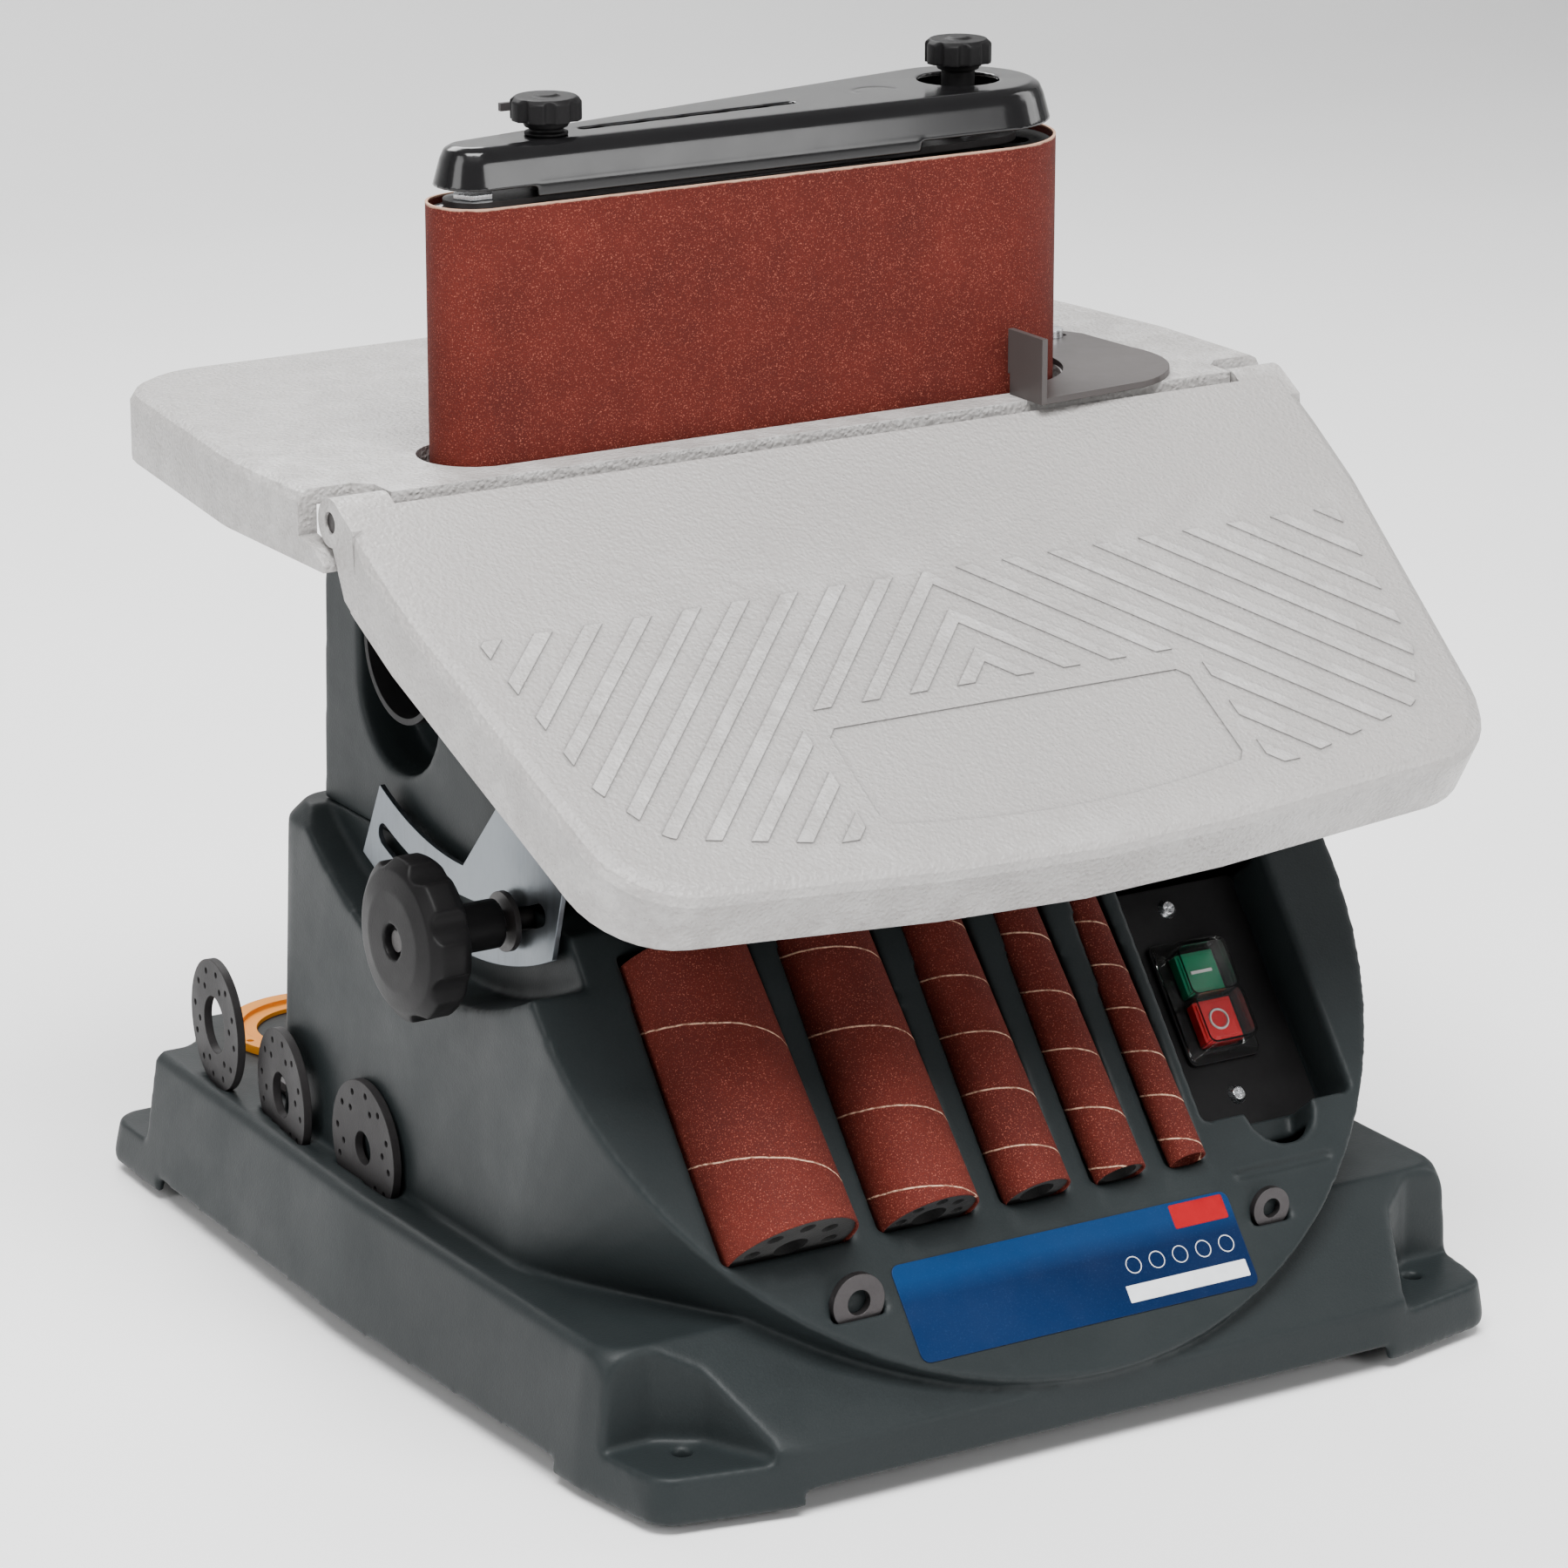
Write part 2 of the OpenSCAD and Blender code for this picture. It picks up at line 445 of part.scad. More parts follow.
module frame_bushes() place() color([0.72, 0.55, 0.3]) translate([xd, yd, 0]) for (z = [[T - 8, T - 5], [T + 91.2, T + 94]])
  translate([0, 0, z[0]]) difference() {
    cylinder(r = 9.98, h = z[1] - z[0]);
    translate([0, 0, -1]) cylinder(r = spindle_r + run_c, h = 20);
  }
module platen() place() color([0.3, 0.3, 0.31]) difference() {
  translate([-104, 1.4, T - 2]) cube([152, 3, 91]);
  for (x = [-80, 20], z = [T + 15, T + 70]) translate([x, 0, z]) rotate([-90, 0, 0]) cylinder(r = 1.6, h = 6);
}
module guide_rod() place() color([0.75, 0.76, 0.78]) translate([-60, 24, 272]) union() {
  cylinder(r = 4, h = T - 5 - 272);
  translate([0, 0, T - 5 - 272]) cylinder(r = 7, h = 3, $fn = 6);
}
module tension_spring() place() color([0.7, 0.7, 0.72]) translate([-92, 24, T + 60]) rotate([0, -90, 0]) rotate_extrude()
  polygon(concat([[2.6, 0]], [for (i = [0:11]) each [[4.6, i * 1.5 + 0.3], [3.4, i * 1.5 + 1.1]]], [[4.6, 18], [2.6, 18.3]]));
module cover_shape(d, z0, z1) {
  hull() {
    translate([xi, yi, z0]) cylinder(r = 14.6 - d, h = 0.5, $fn = 40);
    translate([xd, yd, z0]) cylinder(r = 35 - d, h = 0.5, $fn = 56);
    translate([xi, yi, z1 - 5.5]) cylinder(r = 12 - d, h = 0.5, $fn = 40);
    translate([xd, yd, z1 - 5.5]) cylinder(r = 32.4 - d, h = 0.5, $fn = 56);
    translate([xi, yi, z1 - 1.8]) cylinder(r = 10.4 - d, h = 0.3, $fn = 40);
    translate([xd, yd, z1 - 1.8]) cylinder(r = 30.8 - d, h = 0.3, $fn = 56);
    translate([xi, yi, z1 - 0.3]) cylinder(r = 7.6 - d, h = 0.3, $fn = 40);
    translate([xd, yd, z1 - 0.3]) cylinder(r = 28 - d, h = 0.3, $fn = 56);
  }
}
module belt_cover() place() color([0.03, 0.03, 0.035]) difference() {
  union() {
    difference() {
      cover_shape(0, T + 98.5, T + 113.5);
      cover_shape(1.6, T + 96, T + 111.9);
    }
    // skirt that drops inside the belt, front and back
    translate([-92, 2.9, T + 94.6]) cube([142, 1.6, 5]);
    translate([-98, 19, T + 110.9]) cylinder(r = 8, h = 1.6);
    difference() {
      translate([0, 0, T + 94.6]) racetrack(xi, yi, 14.6, xd, yd, 35, 5);
      translate([0, 0, T + 90]) racetrack(xi, yi, 13, xd, yd, 33.4, 16);
      translate([-200, -50, T + 90]) cube([90, 200, 16]);
      translate([52, -50, T + 90]) cube([200, 200, 16]);
      translate([-115, 20, T + 90]) cube([60, 60, 16]);
    }
  }
  translate([xd, yd, T + 80]) cylinder(r = 15.5, h = 60);
  translate([0, 0, T + 80]) slot2(-80, 23, 10, 27, 2, 60);
  translate([-97.6, 19, T + 80]) cylinder(r = 3.6, h = 60);
  // direction arrow pressed in the top
  translate([50, 31, T + 113]) difference() { cylinder(r = 9, h = 2); translate([0, 0, -1]) cylinder(r = 7.6, h = 4); translate([-20, -20, -1]) cube([40, 20, 4]); }
}
module knob_body(r, h, stem_r, stem_h) {
  union() {
    translate([0, 0, stem_h]) star(r, h, star_lobes, 2.6);
    translate([0, 0, stem_h - 2.5]) cylinder(r1 = stem_r + 1.5, r2 = r - 4, h = 2.6);
    cylinder(r = stem_r, h = stem_h);
    translate([0, 0, stem_h + h - 0.2]) cylinder(r1 = 5.2, r2 = 3.8, h = 1);
  }
}
module cover_knob() place() color([0.05, 0.05, 0.055]) translate([-97.6, 19, T + 113.6]) union() {
  cylinder(r = 8, h = 1.2);
  knob_body(13, 8.5, 6.3, 5.4);
  translate([0, 0, -16]) cylinder(r = 3, h = 17);
}
module spindle_knob() place() color([0.05, 0.05, 0.055]) translate([xd, yd, T + 104]) union() {
  cylinder(r = 12.7, h = 1.6);
  knob_body(12.6, 9, 6.3, 15.7);
}
module tension_lever() place() color([0.1, 0.1, 0.1]) {
  union() {
    translate([0, 0, T + 94.6]) slot2(-92, 36, -78, 58, 4, 2.4);
    translate([-78, 56.5, T + 94.6]) cube([5, 2, 24]);
    translate([-95.5, 56.5, T + 115.6]) cube([20, 2, 3]);
    translate([-92, 36, T + 85.2]) cylinder(r = 2.45, h = 10);
  }
}
module tilt_bolt_axis() { translate([0, ky, kz]) rotate([0, -90, 0]) children(); }

// ---- tilting table ------------------------------------------------------------
bars = [for (k = [-5:6]) 76.5 - 80 + 20 * k];
// hinge-frame y of a distance measured down the table from its rear edge
function tq(s) = -(s - 2.7);
module bar_field(s0, s1, xa, xb) {
  intersection() {
    union() for (u = bars) polygon([[u - s0, tq(s0)], [u + 7.2 - s0, tq(s0)], [u + 7.2 - s1, tq(s1)], [u - s1, tq(s1)]]);
    translate([xa, -260]) square([xb - xa, 300]);
    polygon(round_poly(
      [[184, tq(70)], [174, tq(150)], [158, tq(178)], [98, tq(193)], [0, tq(196)], [-98, tq(193)], [-158, tq(178)], [-174, tq(150)], [-184, tq(70)]],
      [0, 20, 12, 0, 0, 0, 12, 20, 0], 5));
  }
}
module bar_side() linear_extrude(bar_h) {
  bar_field(77.2, 132.7, -184, 0);
  bar_field(132.6, 200, -184, -84.5);
}
module grip_bars() { bar_side(); mirror([1, 0, 0]) bar_side(); }
module tilt_table() place() color([0.80, 0.79, 0.78]) tilted() difference() {
  union() {
    difference() {
      hull() {
        translate([0, 0, -17]) linear_extrude(21) polygon(front_outline(0, -30.5));
        translate([0, 0, 6.8]) linear_extrude(0.4) polygon(front_outline(1.6, -6));
        translate([0, 0, 8.5]) linear_extrude(0.5) polygon(front_outline(5.0, -3.4));
      }
      // hollow underside
      translate([0, 0, -18]) linear_extrude(20) polygon(round_poly(
        [[196, -36], [196, -52], [178, -193], [60, -203], [-60, -203], [-178, -193], [-196, -52], [-196, -36]], [4, 0, 32, 0, 0, 32, 0, 4], 6));
    }
    translate([0, 0, 8.99]) grip_bars();
    // ears round the hinge pins
    for (sx = [-1, 1]) translate([sx * 193.2 - 11, 0, 0]) {
      rotate([0, 90, 0]) cylinder(r = 8.9, h = 22);
      rotate([90, 0, 90]) linear_extrude(22) polygon([[0, 8.9], [-14, 8.9], [-34, -17], [-22, -17], [-6, -6.6]]);
    }
    // stiffening webs
    for (x = [-100, 0, 100]) translate([x - 2, -206, -9]) cube([4, 172, 13]);
    translate([-190, -120, -9]) cube([380, 4, 13]);
    // lug for the quadrant
    translate([-154, -124, -22]) cube([13, 38, 26]);
  }
  // blank panel
  translate([0, 0, 8.4]) linear_extrude(2) polygon(concat(
    [[-76.4, tq(146)], [-72.6, tq(142)], [72.6, tq(142)], [76.4, tq(146)], [76.4, tq(184.5)], [73.5, tq(188.6)]],
    [for (i = [1:11]) let (x = 73.5 - 147 * i / 12) [x, tq(188.6 + 6.4 * (1 - pow(x / 73.5, 2)))]],
    [[-73.5, tq(188.6)], [-76.4, tq(184.5)]]));
  for (sx = [-1, 1]) translate([sx * 193.2 - 20, 0, 0]) rotate([0, 90, 0]) cylinder(r = 4 + run_c, h = 40);
  for (y = [-114, -96]) translate([-155, y, -16]) rotate([0, 90, 0]) cylinder(r = 2.52, h = 9.2);
}
module sector(a0, a1, r) polygon(concat([[0, 0]], [for (i = [0:10]) let (a = a0 + (a1 - a0) * i / 10) r * [sin(a), -cos(a)]]));
module tilt_quadrant() place() color([0.66, 0.70, 0.76]) tilted() translate([qx, 0, 0]) rotate([90, 0, 90]) linear_extrude(2) difference() {
  // drawn in the table's frame, angles counted from straight down
  union() {
    intersection() {
      difference() { circle(r = 166, $fn = 120); circle(r = 133, $fn = 120); }
      sector(-25 - tilt, 26.4 - tilt, 220);
    }
    polygon([[-72.4, -111.6], [-79.8, -74.5], [-88, -8], [-122, -8], [-129, -60.9], [-137.5, -93], [-126, -104], [-100, -113]]);
  }
  intersection() {
    difference() { circle(r = slot_r + 4.3, $fn = 120); circle(r = slot_r - 4.3, $fn = 120); }
    sector(-24.3 - tilt, 22.4 - tilt, 220);
  }
  for (a = [-24.3, 22.4]) rotate(a - tilt) translate([0, -slot_r]) circle(r = 4.3, $fn = 32);
  for (x = [-114, -96]) translate([x, -16]) circle(r = 2.6, $fn = 24);
}
module quadrant_screws() place() color([0.7, 0.71, 0.72]) tilted() for (y = [-114, -96]) translate([-158.4, y, -16]) rotate([0, 90, 0]) {
  cylinder(r = 4.6, h = 2.4);
  cylinder(r = 2.5, h = 12);
}
module tilt_knob() place() color([0.05, 0.05, 0.055]) tilt_bolt_axis() translate([0, 0, 187]) difference() {
  union() {
    translate([0, 0, 0]) difference() {
      union() {
        cylinder(r = tknob_r - 2.2, h = 1.5);
        translate([0, 0, 1.5]) cylinder(r1 = tknob_r - 1.2, r2 = tknob_r, h = 2.5);
        translate([0, 0, 4]) cylinder(r = tknob_r, h = 9);
        translate([0, 0, 13]) cylinder(r1 = tknob_r, r2 = tknob_r - 4, h = 3);
        translate([0, 0, 16]) cylinder(r1 = tknob_r - 4, r2 = tknob_r - 12, h = 1.5);
      }
      for (i = [0:7]) rotate([0, 0, 22.5 + i * 45]) translate([tknob_r + 5.2, 0, -1]) cylinder(r = 8.2, h = 30, $fn = 48);
    }
    translate([0, 0, -24]) cylinder(r = 9, h = 25);
  }
  translate([0, 0, 13]) cylinder(r = 6.5, h = 10);
  translate([0, 0, -30]) cylinder(r = 4.02, h = 45);
}
module tilt_bolt() place() color([0.7, 0.71, 0.72]) tilt_bolt_axis() union() {
  translate([0, 0, 138]) cylinder(r = 4, h = 63);
  translate([0, 0, 158.2]) cylinder(r = 11, h = 2.2);
  translate([0, 0, 200.9]) cylinder(r = 4, h = 1.6, $fn = 24);
}

// ---- switch, label and stored parts ----------------------------------------------
module switch_plate() place() color([0.06, 0.055, 0.06]) panel() difference() {
  translate([0, 0, -25]) rbox(75.6, 114.4, 141.4, 212, 2.4, 2);
  translate([95, 144, -30]) cube([27, 42, 20]);
  for (y = [127.2, 203.2]) translate([108.5, y, -30]) cylinder(r = 2.1, h = 20);
}
module panel_screws() place() color([0.78, 0.79, 0.8]) panel() for (y = [127.2, 203.2]) translate([108.5, y, -23]) difference() {
  union() { cylinder(r1 = 3.8, r2 = 2.4, h = 1.9); translate([0, 0, -12]) cylinder(r = 1.55, h = 12.5); }
  for (a = [0, 90]) rotate([0, 0, a]) translate([-2, -0.35, 1]) cube([4, 0.7, 2]);
}
module switch_body() place() color([0.12, 0.12, 0.12]) panel() difference() {
  union() {
    translate([0, 0, -60]) rbox(95.4, 144.4, 121.6, 185.6, 1, 37);
    translate([0, 0, -23]) rbox(92.5, 140.5, 124.5, 189.5, 3, 2.2);
  }
  for (y = [155.4, 174.8]) translate([99.9, y - 8.5, -40]) cube([17, 17, 30]);
}
module button_block(y) { panel() translate([100.3, y - 8.1, -32]) union() { cube([16.2, 16.2, 15]); translate([1.2, 1.2, 14]) cube([13.8, 13.8, 1.6]); } }
module start_button() place() color([0.0, 0.45, 0.31]) difference() {
  button_block(174.8);
  panel() translate([103.5, 174, -15.9]) cube([9.8, 1.6, 2]);
}
module stop_button() place() color([0.86, 0.12, 0.14]) difference() {
  button_block(155.4);
  panel() translate([108.4, 155.4, -15.9]) difference() { cylinder(r = 4.4, h = 2); translate([0, 0, -1]) cylinder(r = 3.2, h = 4); }
}
module switch_cover() place() color([0.85, 0.9, 0.92, 0.35]) panel() difference() {
  union() {
    translate([0, 0, -20.8]) rbox(93.3, 141.3, 123.7, 188.7, 2.6, 1.2);
    for (y = [155.4, 174.8]) translate([0, 0, -20]) rbox(97.4, y - 10.5, 119.4, y + 10.5, 3.2, 10);
  }
  for (y = [155.4, 174.8]) translate([0, 0, -22]) rbox(98.4, y - 9.5, 118.4, y + 9.5, 2.6, 11.2);
}
module rating_label() place() color([0.0, 0.2, 0.37]) panel() translate([0, 0, eps]) rbox(-72.5, 50, 72.5, 87, 3.5, 0.35);
module washer(r, b, h) { difference() { cylinder(r = r, h = h); translate([0, 0, -1]) cylinder(r = b, h = h + 2); } }
module spare_washers() place() color([0.45, 0.44, 0.43]) {
  translate([-90, -179.5, 64.4]) rotate([90, 0, 0]) washer(10.6, 4.7, 3);
  translate([88, -179.7, 64]) rotate([90, 0, 0]) washer(7.9, 3.7, 2.6);
}
module sleeve(i, h) { sleeve_axis(i) translate([0, 0, 0.4]) difference() {
  cylinder(r = sleeves[i][1], h = h); translate([0, 0, -1]) cylinder(r = sleeves[i][1] - 1.1, h = h + 2); } }
module drum(i, h) { sleeve_axis(i) translate([0, 0, 1.4]) difference() {
  cylinder(r = sleeves[i][1] - 1.12, h = h);
  translate([0, 0, -1]) cylinder(r = min(6.5, sleeves[i][1] - 3.4), h = h + 2);
  if (i < 2) for (a = [0:7]) rotate([0, 0, a * 45]) translate([sleeves[i][1] * 0.62, 0, -1]) cylinder(r = sleeves[i][1] * 0.12, h = 12);
} }
module sleeve_50() place() color([0.5, 0.19, 0.16]) sleeve(0, 115);
module sleeve_38() place() color([0.5, 0.19, 0.16]) sleeve(1, 115);
module sleeve_26() place() color([0.5, 0.19, 0.16]) sleeve(2, 115);
module sleeve_19() place() color([0.5, 0.19, 0.16]) sleeve(3, 115);
module sleeve_13() place() color([0.5, 0.19, 0.16]) sleeve(4, 115);
module drum_50() place() color([0.1, 0.1, 0.1]) drum(0, 113);
module drum_38() place() color([0.1, 0.1, 0.1]) drum(1, 113);
module drum_26() place() color([0.1, 0.1, 0.1]) drum(2, 113);
module drum_19() place() color([0.1, 0.1, 0.1]) drum(3, 113);
module insert_disc(q, bore) { translate([-171.5, q[0], q[1]]) rotate([0, 90, q[2]]) translate([0, 0, -1.6]) difference() {
  cylinder(r = 26, h = 3.2);
  translate([0, 0, -1]) cylinder(r = bore, h = 6);
  for (a = [0:11]) rotate([0, 0, a * 30 + 8]) translate([21.5, 0, -1]) cylinder(r = 1.3, h = 6, $fn = 16);
  for (a = [0:5]) rotate([0, 0, a * 60 + 23]) translate([16.5, 0, -1]) cylinder(r = 1.3, h = 6, $fn = 16);
} }
module insert_disc_large_bore() place() color([0.17, 0.16, 0.16]) insert_disc(stores[0], 11.5);
module insert_disc_mid_bore() place() color([0.17, 0.16, 0.16]) insert_disc(stores[1], 9);
module insert_disc_small_bore() place() color([0.17, 0.16, 0.16]) insert_disc(stores[2], 6.5);
module insert_ring() place() color([0.96, 0.59, 0.16]) translate([-110, 191, deck_z]) difference() {
  cylinder(r = 38, h = 3.4, $fn = 96);
  translate([0, 0, 1.7]) cylinder(r = 31.5, h = 4, $fn = 96);
  translate([0, 0, -1]) cylinder(r = 25.5, h = 6, $fn = 96);
  for (a = [0, 120, 240]) rotate([0, 0, a + 190]) translate([34.8, 0, -1]) cylinder(r = 1.5, h = 6, $fn = 16);
}
module hex_key() place() color([0.05, 0.05, 0.05]) union() {
  translate([-156, 150, deck_z + 2.7]) rotate([90, 0, 0]) cylinder(r = 2.6, h = 62 - 36, $fn = 6);
  translate([-158.3, 147.8, deck_z + 2.7]) rotate([0, 90, 0]) cylinder(r = 2.6, h = 24, $fn = 6);
}
module back_stop() place() color([0.30, 0.26, 0.25]) difference() {
  union() {
    translate([0, 0, T + 0.05]) linear_extrude(2.4) polygon(concat([[87.6, -26]],
      [for (i = [0:12]) let (a = -74 + i * 7.4) [126 + 42 * cos(a), 19 + 42 * sin(a)]], [[164, 60], [154, 78], [138, 84], [87.6, 84]]));
    translate([87.6, -26, T + 0.05]) cube([2.4, 23.1, 25]);
  }
  translate([xd, yd - 1, T - 2]) cylinder(r = belt_r2 + 3.4, h = 10);
  translate([80, -2.9, T - 2]) cube([xd - 80 + 1, 100, 10]);
  translate([0, 0, T - 2]) slot2(143, 62, 155, 62, 2.7, 8);
}
module back_stop_screw() place() color([0.7, 0.71, 0.72]) translate([150, 62, T + 2.5]) union() { cylinder(r = 5.4, h = 3.2); translate([0, 0, -12]) cylinder(r = 2.48, h = 13); }

base_housing();
column_housing();
rubber_feet();
bottom_cover();
fixed_table();
dust_port();
table_bolts();
hinge_pins();
motor_housing();
gear_plate();
spindle_bushes();
guide_bush();
switch_plate();
switch_body();
switch_cover();
panel_screws();
rating_label();
cable_gland();
back_stop();
back_stop_screw();
spare_washers();
sleeve_50();
sleeve_38();
sleeve_26();
sleeve_19();
sleeve_13();
drum_50();
drum_38();
drum_26();
drum_19();
insert_disc_large_bore();
insert_disc_mid_bore();
insert_disc_small_bore();
insert_ring();
hex_key();
tilt_table();
tilt_quadrant();
quadrant_screws();
tilt_knob();
tilt_bolt();
belt_frame();
platen();
belt_cover();
idler_axle();
sanding_belt();
tension_spring();
guide_rod();
frame_bushes();
tension_lever();
idler_roller();
spindle();
drive_drum();
spindle_knob();
driven_gear();
motor_rotor();
cooling_fan();
cam_wheel();
cover_knob();
start_button();
stop_button();
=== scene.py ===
import math

import bmesh
import bpy
from mathutils import Matrix, Vector


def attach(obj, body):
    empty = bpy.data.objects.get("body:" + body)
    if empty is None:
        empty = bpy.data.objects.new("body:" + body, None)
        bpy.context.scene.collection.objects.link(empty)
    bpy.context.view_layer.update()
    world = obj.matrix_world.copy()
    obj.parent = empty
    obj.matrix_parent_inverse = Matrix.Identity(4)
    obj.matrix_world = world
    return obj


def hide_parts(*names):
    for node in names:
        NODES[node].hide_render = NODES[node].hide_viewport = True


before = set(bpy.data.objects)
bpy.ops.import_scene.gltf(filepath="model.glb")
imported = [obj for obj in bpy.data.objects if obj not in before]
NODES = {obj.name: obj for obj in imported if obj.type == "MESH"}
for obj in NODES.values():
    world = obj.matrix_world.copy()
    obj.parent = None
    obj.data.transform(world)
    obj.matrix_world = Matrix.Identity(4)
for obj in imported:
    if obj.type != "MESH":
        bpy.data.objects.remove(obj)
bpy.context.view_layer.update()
scene = bpy.context.scene

# ---------------------------------------------------------------- working frame
MM = 0.001
Y0 = -16.5           # working frame to row frame, mm
T = 333.0            # table surface
PY, PZ = -13.0, T - 9.0
TILT = math.radians(31.0)
LEAN = math.radians(38.8)
XI, YI, R1 = -128.6, 17.3, 17.3
XD, YD, R2 = 90.2, 37.2, 37.2

TILTED = Matrix.Translation((0, (PY + Y0) * MM, PZ * MM)) @ Matrix.Rotation(TILT, 4, "X")
PANEL = Matrix.Translation((0, (-228.6 + Y0) * MM, 3.5 * MM)) @ Matrix.Rotation(math.pi / 2 - LEAN, 4, "X")
PLACE = Matrix.Translation((0, Y0 * MM, 0))
SLEEVES = [(-108.4, 25.4), (-50.9, 19.0), (-5.0, 13.0), (31.0, 10.0), (60.7, 7.2)]


def sleeve_axis(i):
    return PANEL @ Matrix.Translation((SLEEVES[i][0] * MM, 100 * MM, 2 * MM)) @ Matrix.Rotation(math.radians(-94.3), 4, "X")


# ---------------------------------------------------------------- materials
class Mat:
    """A small builder for node materials on object coordinates."""

    def __init__(self, name):
        self.m = bpy.data.materials.new(name)
        self.m.use_nodes = True
        self.t = self.m.node_tree
        self.t.nodes.clear()
        self.out = self.t.nodes.new("ShaderNodeOutputMaterial")
        self.b = self.t.nodes.new("ShaderNodeBsdfPrincipled")
        self.t.links.new(self.b.outputs[0], self.out.inputs[0])
        self.tc = self.t.nodes.new("ShaderNodeTexCoord")
        self.co = self.tc.outputs["Object"]

    def node(self, kind, **kw):
        n = self.t.nodes.new(kind)
        for k, v in kw.items():
            setattr(n, k, v)
        return n

    def link(self, a, b):
        self.t.links.new(a, b)

    def mapping(self, scale=(1, 1, 1), rot=(0, 0, 0), loc=(0, 0, 0), src=None):
        n = self.node("ShaderNodeMapping")
        n.inputs["Scale"].default_value = scale
        n.inputs["Rotation"].default_value = rot
        n.inputs["Location"].default_value = loc
        self.link(src or self.co, n.inputs["Vector"])
        return n.outputs[0]

    def noise(self, scale, detail=3.0, rough=0.5, src=None, dist=0.0):
        n = self.node("ShaderNodeTexNoise")
        n.inputs["Scale"].default_value = scale
        n.inputs["Detail"].default_value = detail
        n.inputs["Roughness"].default_value = rough
        n.inputs["Distortion"].default_value = dist
        self.link(src or self.co, n.inputs["Vector"])
        return n.outputs["Fac"]

    def voronoi(self, scale, feature="F1", rand=1.0, src=None, out="Distance"):
        n = self.node("ShaderNodeTexVoronoi", feature=feature)
        n.inputs["Scale"].default_value = scale
        n.inputs["Randomness"].default_value = rand
        self.link(src or self.co, n.inputs["Vector"])
        return n.outputs[out]

    def ramp(self, fac, stops, interp="LINEAR"):
        n = self.node("ShaderNodeValToRGB")
        n.color_ramp.interpolation = interp
        e = n.color_ramp.elements
        while len(e) < len(stops):
            e.new(0.5)
        for i, (p, c) in enumerate(stops):
            e[i].position = p
            e[i].color = (*c, 1) if len(c) == 3 else c
        self.link(fac, n.inputs[0])
        return n.outputs[0]

    def maprange(self, v, a, b, c, d):
        n = self.node("ShaderNodeMapRange")
        for k, x in zip(("From Min", "From Max", "To Min", "To Max"), (a, b, c, d)):
            n.inputs[k].default_value = x
        self.link(v, n.inputs["Value"])
        return n.outputs[0]

    def math(self, op, a, b=None, clamp=False):
        n = self.node("ShaderNodeMath", operation=op, use_clamp=clamp)
        for i, v in enumerate((a, b)):
            if v is None:
                continue
            if isinstance(v, (int, float)):
                n.inputs[i].default_value = v
            else:
                self.link(v, n.inputs[i])
        return n.outputs[0]

    def mix(self, fac, a, b, blend="MIX"):
        n = self.node("ShaderNodeMix", data_type="RGBA", blend_type=blend)
        if isinstance(fac, (int, float)):
            n.inputs[0].default_value = fac
        else:
            self.link(fac, n.inputs[0])
        for idx, v in ((6, a), (7, b)):
            if isinstance(v, tuple):
                n.inputs[idx].default_value = (*v, 1) if len(v) == 3 else v
            else:
                self.link(v, n.inputs[idx])
        return n.outputs[2]

    def bump(self, height, strength, distance, normal=None):
        n = self.node("ShaderNodeBump")
        n.inputs["Strength"].default_value = strength
        n.inputs["Distance"].default_value = distance
        self.link(height, n.inputs["Height"])
        if normal is not None:
            self.link(normal, n.inputs["Normal"])
        return n.outputs[0]

    def bevel(self, radius):
        n = self.node("ShaderNodeBevel", samples=6)
        n.inputs["Radius"].default_value = radius
        return n.outputs[0]

    def pointy(self):
        n = self.node("ShaderNodeNewGeometry")
        return n.outputs["Pointiness"]

    def xyz(self, src=None):
        n = self.node("ShaderNodeSeparateXYZ")
        self.link(src or self.co, n.inputs[0])
        return n.outputs

    def set(self, **kw):
        names = {"color": "Base Color", "rough": "Roughness", "metal": "Metallic", "normal": "Normal", "ior": "IOR",
                 "coat": "Coat Weight", "coat_rough": "Coat Roughness", "spec": "Specular IOR Level",
                 "trans": "Transmission Weight", "sheen": "Sheen Weight", "alpha": "Alpha", "aniso": "Anisotropic"}
        for k, v in kw.items():
            s = self.b.inputs[names[k]]
            if isinstance(v, (int, float)):
                s.default_value = v
            elif isinstance(v, tuple):
                s.default_value = (*v, 1) if len(v) == 3 else v
            else:
                self.link(v, s)
        return self.m


def moulded(name, base, dark, light, rough=(0.42, 0.56), grain=0.10, edge=0.35, bev=0.0008, spec=0.15):
    """Moulded plastic: faint mottling, fine pebble, edges rubbed a little lighter."""
    m = Mat(name)
    big = m.noise(7.0, 4, 0.6)
    col = m.ramp(big, [(0.32, dark), (0.5, base), (0.70, light)])
    fine = m.noise(1500.0, 2, 0.6)
    col = m.mix(m.maprange(fine, 0.4, 0.7, 0.0, 0.10), col, tuple(min(1, c * 1.9 + 0.01) for c in base))
    wear = m.maprange(m.pointy(), 0.515, 0.60, 0.0, edge)
    scr = m.noise(45.0, 5, 0.7)
    wear = m.math("MULTIPLY", wear, m.maprange(scr, 0.35, 0.65, 0.45, 1.0))
    col = m.mix(wear, col, tuple(min(1, c * 2.1 + 0.02) for c in base))
    r = m.maprange(m.noise(28.0, 4, 0.65), 0.3, 0.7, rough[0], rough[1])
    h = m.math("ADD", m.math("MULTIPLY", m.noise(1100.0, 2, 0.55), 1.0), m.math("MULTIPLY", m.noise(160.0, 3, 0.5), 0.8))
    nrm = m.bump(h, grain, 0.0006, m.bevel(bev))
    return m.set(color=col, rough=r, normal=nrm, spec=spec)


